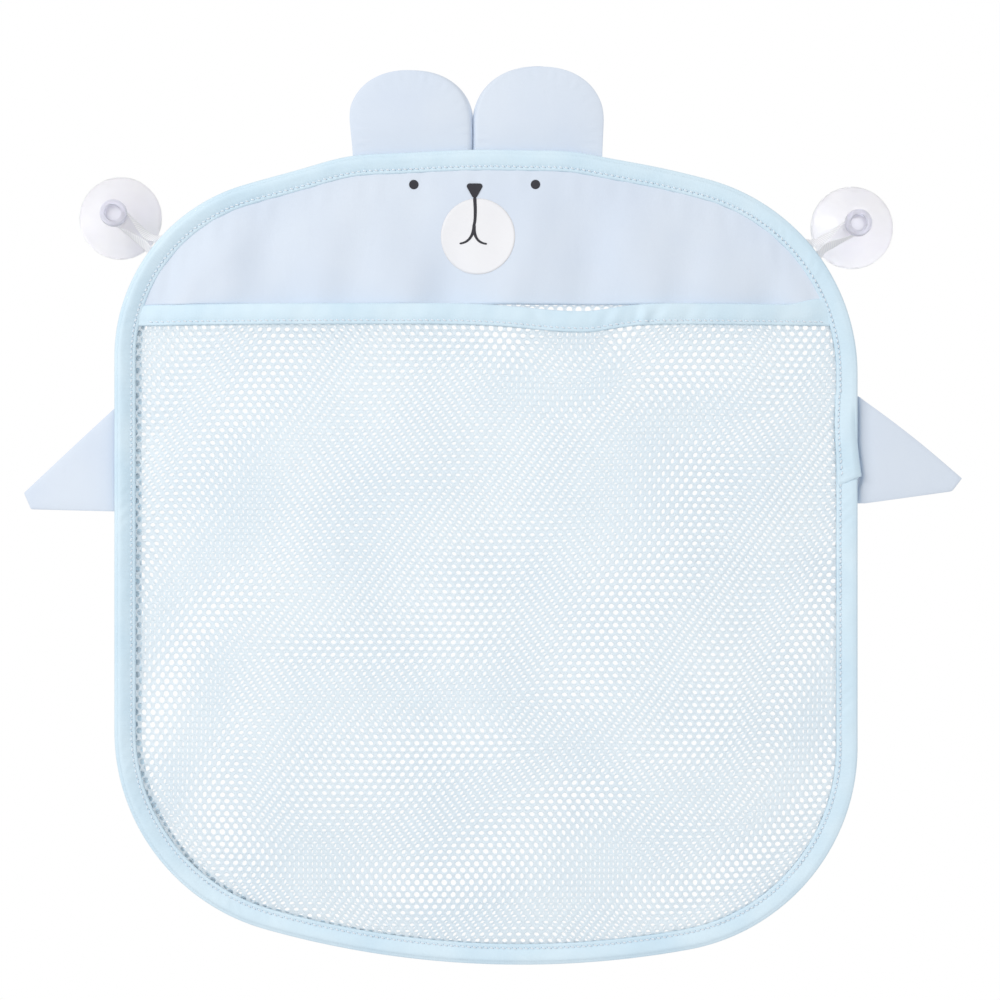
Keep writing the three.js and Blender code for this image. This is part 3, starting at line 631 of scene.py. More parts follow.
@dataclass(frozen=True)
class Outline:
    """The bag's outline over its binding: two long arcs and four corner arcs between straight sides."""

    half_width: float = 180.0
    top: float = 33.4
    bottom: float = -362.0
    r_top: float = 410.0
    r_left: float = 87.0
    r_right: float = 98.0
    r_corner: float = 100.0
    r_bottom: float = 455.0
    bottom_shift: float = 17.0

    def long_arc(self, up: float) -> CornerArc:
        """The top arc, or the bottom arc where up is -1."""
        if up > 0.0:
            return CornerArc(0.0, self.top - self.r_top, self.r_top, 0.0)
        return CornerArc(self.bottom_shift, self.bottom + self.r_bottom, self.r_bottom, 0.0)

    def corner_arc(self, side: Side, radius: float, up: float) -> CornerArc:
        """A corner's arc: its centre lies half_width - r across and R - r from the long arc's centre.

        Args:
            side: The side that it touches.
            radius: Its radius r.
            up: 1 where it meets the top arc and -1 where it meets the bottom arc.

        Returns:
            The arc; its lean is the long arc's angle from the upright where they meet.
        """
        far = self.long_arc(up)
        x = side.value * (self.half_width - radius)
        rise = math.sqrt((far.radius - radius) ** 2 - (x - far.x) ** 2)
        return CornerArc(x, far.z + up * rise, radius, math.atan2(x - far.x, rise))

    def shoulder(self, side: Side) -> CornerArc:
        """The arc of one shoulder; the right one is the rounder."""
        return self.corner_arc(side, self.r_left if side is Side.LEFT else self.r_right, 1.0)

    def corner(self, side: Side) -> CornerArc:
        """The arc of one bottom corner."""
        return self.corner_arc(side, self.r_corner, -1.0)

    def crown(self, x: Array) -> Array:
        """The height of the top arc."""
        far = self.long_arc(1.0)
        return far.z + np.sqrt(far.radius**2 - x**2)

    def depth(self, x: Array, z: Array) -> Array:
        """How far points lie inside the edge.

        Inside the sector of a corner's arc it is the radius less the distance from that arc's
        centre. Elsewhere it is the least of the distances to the sides and the two long arcs.

        Args:
            x: Places across the bag.
            z: Heights.

        Returns:
            The distance to the nearest edge, negative outside.
        """
        depth = self.half_width - np.abs(x)
        for up in (1.0, -1.0):
            far = self.long_arc(up)
            depth = np.minimum(depth, far.radius - np.hypot(x - far.x, z - far.z))
        for side in Side:
            for arc, up in ((self.shoulder(side), 1.0), (self.corner(side), -1.0)):
                far = self.long_arc(up)
                dx, dz = x - arc.x, z - arc.z
                turn = (arc.x - far.x) * dz - (arc.z - far.z) * dx
                beside = (side.value * up * turn < 0.0) & (up * dz > 0.0)
                depth = np.where(beside, arc.radius - np.hypot(dx, dz), depth)
        return depth

    def path(self, start: float, count: int) -> tuple[Array, Array, Array]:
        """Points at even steps round the outline, anticlockwise from the right side.

        Args:
            start: The height on the right side where the path starts and ends.
            count: The number of points, the last of which lies on the first.

        Returns:
            The points as x and z, their outward normals, and their distances along the path.
        """
        up, left, down = 0.5 * math.pi, math.pi, 1.5 * math.pi
        edge, top, bottom = self.half_width, self.long_arc(1.0), self.long_arc(-1.0)
        (near_s, near_c), (far_s, far_c) = (
            (self.shoulder(side), self.corner(side)) for side in (Side.RIGHT, Side.LEFT)
        )
        runs = [
            SideRun(edge, start, near_s.z, 0.0),
            ArcRun(near_s, 0.0, up - near_s.lean),
            ArcRun(top, up - near_s.lean, up - far_s.lean),
            ArcRun(far_s, up - far_s.lean, left),
            SideRun(-edge, far_s.z, far_c.z, left),
            ArcRun(far_c, left, down + far_c.lean),
            ArcRun(bottom, down + far_c.lean, down + near_c.lean),
            ArcRun(near_c, down + near_c.lean, TAU),
            SideRun(edge, near_c.z, start, TAU),
        ]
        ends = np.cumsum([0.0] + [run.length for run in runs])
        along = np.linspace(0.0, ends[-1], count)
        points, angles = np.zeros((count, 2)), np.zeros(count)
        for run, begin, end in zip(runs, ends[:-1], ends[1:]):
            here = (along >= begin) & (along <= end)
            points[here], angles[here] = run.at((along[here] - begin) / (end - begin))
        return points, np.stack([np.cos(angles), np.sin(angles)], axis=1), along


@dataclass(frozen=True)
class Layers:
    """Where the bag's layers lie, from the model: the wall is y = 0 and the front is negative."""

    seam: float = -13.25
    binding: float = -16.25
    front: float = -17.05
    back: float = -15.45
    hem: float = -42.0
    mouth_top: float = -42.1
    mouth_height: float = 10.0
    selvedge: float = 15.0
    mouth_bulge: float = 12.0
    belly_bulge: float = 20.0
    belly_from: float = -54.75
    belly_drop: float = 110.0
    reach: float = 110.0


@dataclass(frozen=True)
class Drape:
    """How the bag's soft layers stand: the pocket's belly, its slack and the panel's soft folds."""

    outline: Outline = Outline()
    layers: Layers = Layers()
    slack: float = 1.3
    slack_span: Span = (16.0, 60.0)
    slack_heights: Span = (-54.0, -92.0)
    slack_leaning: tuple[Wave, ...] = ((0.6, 96.0, 0.1), (0.4, 57.0, 0.6))
    slack_level: Wave = (0.5, 83.0, 0.35)
    rear_lean: float = 0.35
    rear_span: Span = (12.0, 50.0)
    rear_upright: Wave = (0.25, 120.0, 0.3)
    rear_level: Wave = (0.25, 90.0, 0.7)
    flare_rise: float = 3.2
    flare_span: Span = (144.0, 163.0)
    sag_drop: float = 3.9
    sag_x: float = 46.0
    sag_left: float = 34.0
    sag_right: float = 20.0
    panel_fold: float = 0.9
    panel_forward: float = 2.6
    panel_span: Span = (8.0, 30.0)
    panel_heights: Span = (18.0, -38.0)
    panel_held: float = 0.35
    folds_right: tuple[Wave, ...] = ((2.0, 74.0, 0.15), (0.85, 39.0, 0.55))
    folds_left: tuple[Wave, ...] = ((1.3, 52.0, 0.8), (0.3, 23.0, 0.3))
    gathers: tuple[Wave, ...] = ((0.16, 13.5, 0.1), (0.12, 8.7, 0.4))
    gather_depth: float = 15.0
    gather_wide: float = 6.0

    def belly(self, x: Array, z: Array) -> Array:
        """How far the pocket stands forward: bulge * (1 - (1 - t)^2), t rising from its edge inwards.

        Args:
            x: Places across the bag.
            z: Heights.

        Returns:
            The distance forward of the front layer.
        """
        layers = self.layers
        inward = self.outline.depth(x, z) - layers.selvedge
        t = np.clip(inward / layers.reach, 0.0, 1.0)
        lower = smoothstep(0.0, layers.belly_drop, layers.belly_from - z)
        bulge = layers.mouth_bulge + (layers.belly_bulge - layers.mouth_bulge) * lower
        return bulge * (1.0 - (1.0 - t) ** 2)

    def pocket(self, x: Array, z: Array) -> Array:
        """The pocket net's y: its belly and a few slack waves that die out at the edge and the mouth."""
        loose = smoothstep(*self.slack_span, self.outline.depth(x, z))
        loose = loose * smoothstep(*self.slack_heights, z)
        waves = ripple(x + 0.35 * z, *self.slack_leaning) + ripple(z - 0.2 * x, self.slack_level)
        return self.layers.front - self.belly(x, z) - self.slack * loose * waves

    def rear(self, x: Array, z: Array) -> Array:
        """The back net's y: nearly flat, with faint waves that lean away from the front."""
        loose = smoothstep(*self.rear_span, self.outline.depth(x, z))
        waves = ripple(x, self.rear_upright) + ripple(z + 0.3 * x, self.rear_level)
        return self.layers.back + loose * (self.rear_lean + waves)

    def flare(self, x: Array) -> Array:
        """How far the mouth's tape widens upwards near its right end."""
        return self.flare_rise * smoothstep(*self.flare_span, x)

    def sag(self, x: Array) -> Array:
        """How far the pocket's top edge lies off its level: a bell, steeper on its right side."""
        width = np.where(x > self.sag_x, self.sag_right, self.sag_left)
        return -self.sag_drop * hump(x, self.sag_x, width)

    def panel(self, x: Array, z: Array) -> Array:
        """The head panel's y: leaning folds that grow towards its free hem, gathered at the binding."""
        inside = self.outline.depth(x, z)
        hung = self.panel_held + (1.0 - self.panel_held) * smoothstep(*self.panel_heights, z)
        free = smoothstep(*self.panel_span, inside) * hung
        folds = ripple(x + 0.3 * z, *self.folds_right) + ripple(x - 0.25 * z, *self.folds_left)
        gathers = hump(inside, self.gather_depth, self.gather_wide) * ripple(x, *self.gathers)
        return self.layers.front - self.panel_fold * (free * (folds + self.panel_forward) + gathers)


DRAPE = Drape()
CUP_PLACES = {Side.LEFT: (-180.3, 2.35), Side.RIGHT: (180.3, -2.35)}
RIBBON_LEANS: dict[Side, float] = {Side.LEFT: -2.4, Side.RIGHT: 0.0}


@dataclass
class Piece:
    """One visible piece: its shape, its finish and slot, and what it rides on and stands for."""

    name: str
    shape: Shape
    finish: Finish
    slot: Slot
    body: Body = Body.BAG
    stands_for: tuple[str, ...] = ()
    thickness: float = 0.0

    def place(self, rides: bool = True) -> bpy.types.Object:
        """Makes the object, gives it its finish and ties it to the model.

        Args:
            rides: Whether it rides on its body; a piece that its flap bakes in place later doesn't.

        Returns:
            The object.
        """
        made = self.shape.to_object(self.name)
        made.data.materials.append(self.finish.material())
        if self.thickness > 0.0:
            wall = made.modifiers.new("thickness", "SOLIDIFY")
            wall.thickness = self.thickness * MM
            wall.offset = 0.0
        if rides:
            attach(made, self.body.value)
        if self.stands_for:
            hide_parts(*self.stands_for)
        LOG.info("%s: %d points on %s", self.name, len(self.shape.points), self.body.value)
        return made


@dataclass
class NetSheet:
    """A sheet of warp-knitted net: staggered round holes between yarn ridges, at its real pitch."""

    name: str
    flat: tuple[float, float]
    top: float
    phase: tuple[float, float]
    front: bool
    pitch_x: float = 4.5
    pitch_z: float = 3.06
    shear: float = 0.0
    hole_share: float = 0.64
    ridge: float = 0.28
    tuck: float = 5.0
    give_span: Span = (8.0, 70.0)
    give_across: tuple[Wave, ...] = ((0.9, 210.0, 0.2), (0.4, 96.0, 0.5))
    give_down: tuple[Wave, ...] = ((0.6, 190.0, 0.65), (0.3, 110.0, 0.1))
    hang_heights: Span = (-112.0, -52.0)

    def cells(self) -> Array:
        """The centres of the holes: rows a pitch apart, each second row shifted by half a pitch.

        Returns:
            Array of x and z for each cell that starts inside the bindings.
        """
        outline = DRAPE.outline
        rows = np.arange(math.ceil((self.top - outline.bottom) / self.pitch_z))
        reach = math.ceil(1.2 * outline.half_width / self.pitch_x)
        columns = np.arange(-reach, reach + 1)
        row, column = np.meshgrid(rows, columns, indexing="ij")
        x = (column + 0.5 * (row % 2) + self.phase[0]) * self.pitch_x
        z = self.top - (row + self.phase[1]) * self.pitch_z
        x = x + self.shear * z
        inside = (outline.depth(x, z) > self.tuck) & (z < self.top)
        return np.stack([x[inside], z[inside]], axis=1)

    def stretched(self, flat: Array) -> Array:
        """The knit pulled out of square by the bindings: slow sines across and down, front net only."""
        if not self.front:
            return flat
        x, z = flat[..., 0], flat[..., 1]
        give = smoothstep(*self.give_span, DRAPE.outline.depth(x, z))
        across = ripple(z + 0.4 * x, *self.give_across)
        down = ripple(x - 0.3 * z, *self.give_down)
        hang = DRAPE.sag(x) * smoothstep(*self.hang_heights, z)
        return np.stack([x + give * across, z + give * down + hang], axis=-1)

    def shape(self) -> Shape:
        """The net's surface.

        Each cell is the ring between a hexagon, whose corners are shared and raised as the yarn's
        ridge, and a twelve-sided hole: three triangles for each side of the hexagon.

        Returns:
            The mesh, one layer thick.
        """
        centres = self.cells()
        corner_turn = math.pi / 2 + np.arange(6) * TAU / 6
        corner_x = self.pitch_x / math.sqrt(3.0) * np.cos(corner_turn)
        corner_z = self.pitch_z / 1.5 * np.sin(corner_turn)
        ring_turn = math.pi / 2 + np.arange(12) * TAU / 12
        ring_x = 0.5 * self.hole_share * self.pitch_x * np.cos(ring_turn)
        ring_z = 0.75 * self.hole_share * self.pitch_z * np.sin(ring_turn)
        offsets = np.stack(
            [np.concatenate([corner_x, ring_x]), np.concatenate([corner_z, ring_z])], axis=1
        )
        flat = centres[:, None, :] + offsets[None]
        lift = np.where(np.arange(18) < 6, self.ridge, 0.0)
        side = np.arange(6)
        following = (side + 1) % 6
        ring = 6 + 2 * side
        between = ring + 1
        after = 6 + (2 * side + 2) % 12
        pattern = np.concatenate(
            [
                np.stack([side, ring, between], axis=1),
                np.stack([side, between, following], axis=1),
                np.stack([following, between, after], axis=1),
            ]
        )
        faces = (np.arange(len(centres)) * 18)[:, None, None] + pattern[None]
        place = self.stretched(flat)
        surface = DRAPE.pocket if self.front else DRAPE.rear
        y = surface(place[..., 0], place[..., 1]) - lift
        points = np.stack([place[..., 0], y, place[..., 1]], axis=-1).reshape(-1, 3)
        return Shape(points, [faces.reshape(-1, 3)], flat.reshape(-1, 2)).merged(reach=0.02)

    def build(self, node: str) -> bpy.types.Object:
        """Args:
            node: The node that it stands for.

        Returns:
            The object.
        """
        shape = self.shape()
        made = Piece(self.name, shape, NET, Slot.NET, stands_for=(node,)).place()
        return made


@dataclass
class StitchRun:
    """A row of sewing stitches: short capsules of thread that dip into the cloth at both ends.

    Each is turned off the row's line by the slant, in radians.
    """

    name: str
    pitch: float = 2.85
    length: float = 2.5
    radius: float = 0.36
    slant: float = 0.28
    rings: int = 5
    sides: int = 6

    def shape(self, places: Array, along: Array, out: Array) -> Shape:
        """The stitches on a line.

        A stitch is a tube whose centre rises as 1 - (2t - 1)^2 over its length and whose radius
        falls as the square root of that towards its ends.

        Args:
            places: The middle of each stitch, n x 3.
            along: The line's direction at each stitch.
            out: The cloth's outward normal there.

        Returns:
            One mesh with all the stitches.
        """
        t = np.linspace(0.0, 1.0, self.rings)
        arch = 1.0 - (2.0 * t - 1.0) ** 2
        turn = np.arange(self.sides) * TAU / self.sides
        cross = np.cross(along, out)
        along = math.cos(self.slant) * along + math.sin(self.slant) * cross
        cross = np.cross(along, out)
        slim = self.radius * np.sqrt(0.12 + 0.88 * arch)
        step = self.length * (t - 0.5)
        lift = self.radius * (1.6 * arch - 0.9)
        centre = (
            places[:, None, :]
            + along[:, None, :] * step[None, :, None]
            + out[:, None, :] * lift[None, :, None]
        )
        around = (
            np.cos(turn)[None, None, :, None] * cross[:, None, None, :]
            + np.sin(turn)[None, None, :, None] * out[:, None, None, :]
        )
        points = centre[:, :, None, :] + slim[None, :, None, None] * around
        uv = np.zeros(points.shape[:3] + (2,))
        uv[..., 0] = step[None, :, None]
        uv[..., 1] = (self.radius * turn)[None, None, :]
        index = np.arange(points[..., 0].size).reshape(points.shape[:3])
        beside = np.roll(index, -1, axis=2)
        corners = (index[:, :-1], beside[:, :-1], beside[:, 1:], index[:, 1:])
        quads = np.stack([corner.ravel() for corner in corners], axis=1)
        ends = [index[:, 0, ::-1], index[:, -1]]
        return Shape(points.reshape(-1, 3), [quads, *ends], uv.reshape(-1, 2))

    def build(self, places: Array, along: Array, out: Array) -> bpy.types.Object:
        """Places the row of stitches on the bag."""
        shape = self.shape(places, along, out).turned_out()
        return Piece(self.name, shape, THREAD, Slot.TAPE).place()


@dataclass
class EdgeBinding:
    """The tape folded over the bag's edge, puffed between its fold and its stitches, with a lapped end.

    At the sides its fold leans forward by the curl, and on the left its back half is wider by spare.
    """

    width: float = 10.0
    nose: float = 1.7
    half: float = 1.55
    puff: float = 1.1
    roll: float = 0.75
    curl: float = 1.6
    spare: float = 2.6
    stitch_depth: float = 8.1
    groove: float = 0.4
    groove_wide: float = 0.7
    rim_wide: float = 0.7
    drawn: float = 0.16
    drawn_wide: float = 1.6
    wavy: float = 0.26
    creased: float = 0.2
    crest_depth: float = 5.4
    crest_wide: float = 2.4
    cloth_half: float = 0.85
    wall: float = 0.35
    thread_lift: float = 0.3
    samples: int = 18
    per_stitch: int = 3
    lap_start: float = -85.0
    lap_end: float = -125.0
    lap_swell: float = 2.9
    lap_inset: float = 0.9
    lap_lift: float = 1.0
    lap_slant: float = 0.5
    lap_slant_over: float = 14.0
    lap_slack: float = 0.4
    lap_turn: float = 1.1
    lap_sink: float = 0.3
    lap_ease: Span = (-7.0, 0.5)
    lap_rows: int = 64
    ear_pushes: tuple[Point, ...] = ((2.1, -66.0, 20.0), (1.1, 41.0, 16.0))

    def section(self) -> tuple[Array, Array, Array]:
        """The front half of the folded section, from its inner edge to its fold.

        The fold is a quarter of an ellipse. The face rises to a ridge, dips in a bell at the stitches
        and rounds down to the cloth at the inner edge.

        Returns:
            Depths from the outer edge, heights off the middle and distances across the tape.
        """
        s = np.linspace(0.0, 1.0, self.samples)
        depth = self.width * (1.0 - s) ** 1.25
        height = self.half * quarter_round(depth / self.nose) + self.puff * self.ridge(depth)
        height = height - self.groove * hump(depth, self.stitch_depth, self.groove_wide)
        rim = smoothstep(self.width - self.rim_wide, self.width, depth)
        height = height * (1.0 - rim) + self.cloth_half * rim
        steps = np.hypot(np.diff(depth), np.diff(height))
        return depth, height, np.concatenate([[0.0], np.cumsum(steps)])

    def ridge(self, depth: Array) -> Array:
        """The face's rise between the fold and the stitches: sin(pi sqrt(t)), highest near the fold."""
        t = np.clip((depth - self.nose) / (self.stitch_depth - self.nose), 0.0, 1.0)
        return np.sin(math.pi * np.sqrt(t))

    def wrapped(self) -> tuple[Array, Array, Array]:
        """The whole section, front and back: depths, offsets from the middle and distances across."""
        depth, height, across = self.section()
        offset = np.concatenate([-height, height[-2::-1]])
        whole = np.concatenate([across, 2.0 * across[-1] - across[-2::-1]])
        return np.concatenate([depth, depth[-2::-1]]), offset, whole

    def curled(self, normals: Array, depth: Array) -> Array:
        """How far the tape leans forward at the sides: nothing at its inner edge, most at its fold."""
        return self.curl * np.abs(normals[:, 0]) * (1.0 - depth / self.width)

    def puckers(self, along: Array, depth: Array, girth: float) -> Array:
        """How far the tape's face stands out: drawn in at each stitch, with waves and slanting creases.

        Args:
            along: Distances along the edge.
            depth: Distances in from the edge.
            girth: The length of the whole edge, which each wave divides evenly.

        Returns:
            The change in height, positive away from the bag.
        """
        pitch = girth / round(girth / StitchRun.pitch)
        drawn = np.cos(TAU * along / pitch) * hump(depth, self.stitch_depth, self.drawn_wide)
        waves = ripple(along, (0.5, girth / 75, 0.1), (0.35, girth / 45, 0.45), (0.4, girth / 28, 0.8))
        crowded = smoothstep(-0.2, 1.0, ripple(along, (0.6, girth / 11, 0.3), (0.5, girth / 17, 0.65)))
        creases = crowded * ripple(along + 0.9 * depth, (0.6, girth / 190, 0.3), (0.4, girth / 233, 0.7))
        crest = hump(depth, self.crest_depth, self.crest_wide)
        return -self.drawn * drawn + (self.wavy * waves + self.creased * creases) * crest

    def pull(self, depth: Array) -> Array:
        """The share of the lap's swell that the tape takes, less towards its inner edge."""
        return 1.0 - self.lap_slack * depth / self.width

    def pushed(self, points: Array) -> Array:
        """How far the ears push the tape up over the top arc: a bell at each ear's outer foot."""
        x, z = points[:, 0], points[:, 1]
        return np.where(z > 0.0, sum(high * hump(x, *bell) for high, *bell in self.ear_pushes), 0.0)

    def lap_shape(self, along: Array) -> tuple[Array, Array]:
        """How far the lapped end stands out of the edge and is lifted off the tape below.

        It sinks into the tape at its top. At its bottom, where along is 0, it is turned under.

        Args:
            along: Distances up from the bottom of the lap.

        Returns:
            The swell less the inset and the lift, and the lift itself, negative where the lap sinks in.
        """
        share = np.clip(along / (self.lap_start - self.lap_end), 0.0, 1.0)
        turned = np.sqrt(np.clip(along / self.lap_turn, 0.04, 1.0))
        raised = self.lap_lift * (1.0 - smoothstep(0.6, 0.95, share)) * turned
        lift = raised - self.lap_sink * smoothstep(0.8, 1.0, share)
        return self.lap_swell * (1.0 - share) ** 2.2 - self.lap_inset - np.maximum(lift, 0.0), lift

    def beyond(self, z: Array) -> Array:
        """How far the tape's edge stands out of the straight right side, eased below the lap's corner."""
        swell, lift = self.lap_shape(z - self.lap_end)
        below, above = self.lap_ease
        eased = smoothstep(self.lap_end + below, self.lap_end + above, z)
        return eased * np.maximum(swell + np.maximum(lift, 0.0), 0.0)

    def swept(self, points: Array, normals: Array, along: Array, girth: float, lapped: bool) -> Shape:
        """The section carried along the edge, or along the lapped part of it.

        Args:
            points: Places on the edge as x and z.
            normals: Outward normals there.
            along: Distances along the edge.
            girth: The length of the whole edge.
            lapped: Whether this is the lapped end, which swells, lifts and is cut aslant.

        Returns:
            The tape's outer surface.
        """
        depth, offset, across = self.wrapped()
        lift, slant = np.zeros(len(along)), np.zeros(len(along))
        out = np.repeat(self.pushed(points)[:, None], len(depth), axis=1)
        if lapped:
            swell, lift = self.lap_shape(along)
            out = swell[:, None] * self.pull(depth)[None, :]
            slant = self.lap_slant * (1.0 - smoothstep(0.0, self.lap_slant_over, along))
        share = np.clip(depth / self.nose, 0.0, 1.0)[None, :]
        face = np.sign(offset)[None, :]
        spare = self.spare * smoothstep(self.stitch_depth, self.width, depth) * (offset > 0.0)
        inset = depth[None, :] - out - lift[:, None] * (1.0 - share)
        inset = inset + np.clip(-normals[:, 0, None], 0.0, 1.0) * spare[None, :]
        back = slant[:, None] * depth[None, :]
        rolled = -self.roll * self.puff * normals[:, 0, None] * self.ridge(depth)[None, :]
        raised = offset[None, :] + face * (rolled + self.puckers(along[:, None], depth[None, :], girth))
        x = points[:, 0, None] - normals[:, 0, None] * inset + normals[:, 1, None] * back
        z = points[:, 1, None] - normals[:, 1, None] * inset - normals[:, 0, None] * back
        lifted = face * lift[:, None] * share
        curled = self.curled(normals[:, :, None], depth[None, :])
        y = DRAPE.layers.binding + raised + lifted - curled
        uv = np.stack(np.broadcast_arrays(along[:, None], across[None, :]), axis=-1)
        return Shape.grid(np.stack([x, y, z], axis=-1), uv)

    def sew(self, stitches: int) -> None:
        """Places the stitches front and back, moved with the lapped end where they pass over it."""
        middle, normal, place = DRAPE.outline.path(self.lap_end, stitches * 2 + 1)
        middle, normal, place = middle[1::2], normal[1::2], place[1::2]
        depth, height, _ = self.section()
        high = float(np.interp(-self.stitch_depth, -depth, height))
        swell, lift = self.lap_shape(place)
        lapped = place < self.lap_start - self.lap_end
        moved = np.where(lapped, swell * self.pull(self.stitch_depth), self.pushed(middle))
        inset = self.stitch_depth - moved
        lift = np.where(lapped, np.maximum(lift, 0.0), 0.0)
        tangent = np.stack([-normal[:, 1], np.zeros(len(normal)), normal[:, 0]], axis=1)
        for face, name in ((-1.0, "edge_stitches_front"), (1.0, "edge_stitches_back")):
            y = DRAPE.layers.binding + face * (high + self.thread_lift + lift)
            y = y - self.curled(normal, self.stitch_depth)
            seam = middle - normal * inset[:, None]
            out = np.tile([0.0, face, 0.0], (len(seam), 1))
            StitchRun(name).build(np.stack([seam[:, 0], y, seam[:, 1]], axis=1), tangent, out)

    def build(self) -> None:
        """Places the tape, its lapped end and its stitches."""
        girth = float(DRAPE.outline.path(self.lap_end, 2)[2][-1])
        stitches = round(girth / StitchRun.pitch)
        width = 2.0 * self.section()[2][-1]
        tape = self.swept(*DRAPE.outline.path(self.lap_end, stitches * self.per_stitch + 1), girth, False)
        rise = np.linspace(0.0, self.lap_start - self.lap_end, self.lap_rows)
        side = np.stack([np.full(rise.shape, DRAPE.outline.half_width), self.lap_end + rise], axis=1)
        lap = self.swept(side, np.tile([1.0, 0.0], (len(rise), 1)), rise, girth, True)
        for name, shape, nodes, length in (
            ("edge_binding_tape", tape.merged(), ("edge_binding",), girth),
            ("edge_binding_lap", lap, (), float(rise[-1])),
        ):
            made = Piece(name, shape, TAPE, Slot.TAPE, stands_for=nodes, thickness=self.wall).place()
        self.sew(stitches)


EDGE = EdgeBinding()


@dataclass(frozen=True)
class MouthCrease:
    """One crease across the mouth's tape: its height, its place, how far it leans and its width."""

    height: float
    x: float
    lean: float
    width: float


@dataclass
class MouthBinding:
    """The tape folded over the pocket's top edge: it hangs and gathers right of the middle."""

    half_width: float = 170.5
    half: float = 0.95
    puff: float = 0.45
    step: float = 1.2
    samples: int = 17
    stitch_up: float = 1.9
    groove: float = 0.3
    wall: float = 0.3
    fold_share: float = 0.13
    rim_half: float = 0.5
    pinch: float = 0.6
    pinch_span: Span = (161.0, 168.0)
    bare_end: float = 6.0
    thread_lift: float = 0.25
    groove_share: float = 0.07
    bunch_x: float = 76.0
    bunch_wide: float = 24.0
    bunch_waves: tuple[Wave, ...] = ((0.45, 13.0, 0.2), (0.3, 8.3, 0.6))
    face_waves: tuple[Wave, ...] = ((0.16, 23.0, 0.4), (0.2, 37.0, 0.9), (0.08, 9.3, 0.2))
    creases: tuple[MouthCrease, ...] = (
        MouthCrease(0.8, 76.0, 0.0, 1.8),
        MouthCrease(-0.5, 72.0, 0.0, 2.2),
        MouthCrease(-0.5, 22.0, 6.0, 2.0),
    )

    def line(self, x: Array) -> tuple[Array, Array]:
        """The tape's top edge: its y follows the belly and its height the sag and the flare."""
        mouth = np.full(np.shape(x), DRAPE.layers.belly_from)
        y = DRAPE.layers.front - DRAPE.belly(x, mouth)
        return y, DRAPE.layers.mouth_top + DRAPE.sag(x) + DRAPE.flare(x)

    def gathers(self, x: Array, share: Array) -> Array:
        """How far the face stands out: gathers right of the middle, and faint waves all along.

        Args:
            x: Places across the bag.
            share: 0 at the fold on top, 1 at the lower edge.

        Returns:
            The change in height off the tape's middle.
        """
        bunch = hump(x, self.bunch_x, self.bunch_wide) * ripple(x + 5.0 * share, *self.bunch_waves)
        crease = sum(one.height * hump(x, one.x + one.lean * share, one.width) for one in self.creases)
        waves = ripple(x + 4.0 * share, *self.face_waves)
        return (bunch + crease + waves) * np.sin(math.pi * np.clip(share, 0.04, 1.0)) ** 0.5

    def height(self, share: Array) -> Array:
        """Half the tape's thickness: a round fold on top, a puffed face and a groove at the stitches."""
        seam = 1.0 - self.stitch_up / DRAPE.layers.mouth_height
        face = np.clip((share - self.fold_share) / (seam - self.fold_share), 0.0, 1.0)
        height = self.half * quarter_round(share / self.fold_share) + self.puff * np.sin(math.pi * face)
        height = height - self.groove * hump(share, seam, self.groove_share)
        rim = smoothstep(0.95, 1.0, share)
        return height * (1.0 - rim) + self.rim_half * rim

    def build(self) -> None:
        """Places the tape and its stitches front and back."""
        count = round(2.0 * self.half_width / self.step) + 1
        x = np.linspace(-self.half_width, self.half_width, count)
        s = np.linspace(0.0, 1.0, self.samples) ** 1.25
        share = np.concatenate([s[::-1], s[1:]])
        face = np.concatenate([-np.ones(self.samples), np.ones(self.samples - 1)])
        y, top = self.line(x)
        tall = DRAPE.layers.mouth_height
        pinch = 1.0 - self.pinch * smoothstep(*self.pinch_span, np.abs(x))
        out = pinch[:, None] * (self.height(share)[None, :] + self.gathers(x[:, None], share[None, :]))
        grid_y = y[:, None] + face[None, :] * out
        grid_z = top[:, None] - (tall + DRAPE.flare(x))[:, None] * share[None, :]
        grid_x = np.broadcast_to(x[:, None], grid_z.shape)
        across = np.cumsum(np.abs(np.diff(share, prepend=share[0]))) * tall
        uv = np.stack(np.broadcast_arrays(x[:, None], across[None, :]), axis=-1)
        shape = Shape.grid(np.stack([grid_x, grid_y, grid_z], axis=-1), uv).flipped()
        nodes = ("mouth_binding",)
        tape = Piece("mouth_binding_tape", shape, TAPE, Slot.TAPE, stands_for=nodes, thickness=self.wall)
        made = tape.place()

        pitch = StitchRun.pitch
        stitches = round(2.0 * (self.half_width - self.bare_end) / pitch)
        x = (np.arange(stitches) + 0.5) * pitch - 0.5 * stitches * pitch
        y, top = self.line(x)
        seam = np.full(x.shape, 1.0 - self.stitch_up / tall)
        off = self.height(seam) + self.gathers(x, seam) + self.thread_lift
        slope = np.gradient(y, x)
        along = unit(np.stack([np.ones_like(x), slope, np.gradient(DRAPE.sag(x), x)], axis=1))
        for face, name in ((-1.0, "mouth_stitches_front"), (1.0, "mouth_stitches_back")):
            places = np.stack([x, y + face * off, top - DRAPE.flare(x) - tall * seam], axis=1)
            out = unit(np.stack([-face * slope, np.full(x.shape, face), np.zeros_like(x)], axis=1))
            StitchRun(name).build(places, along, out)


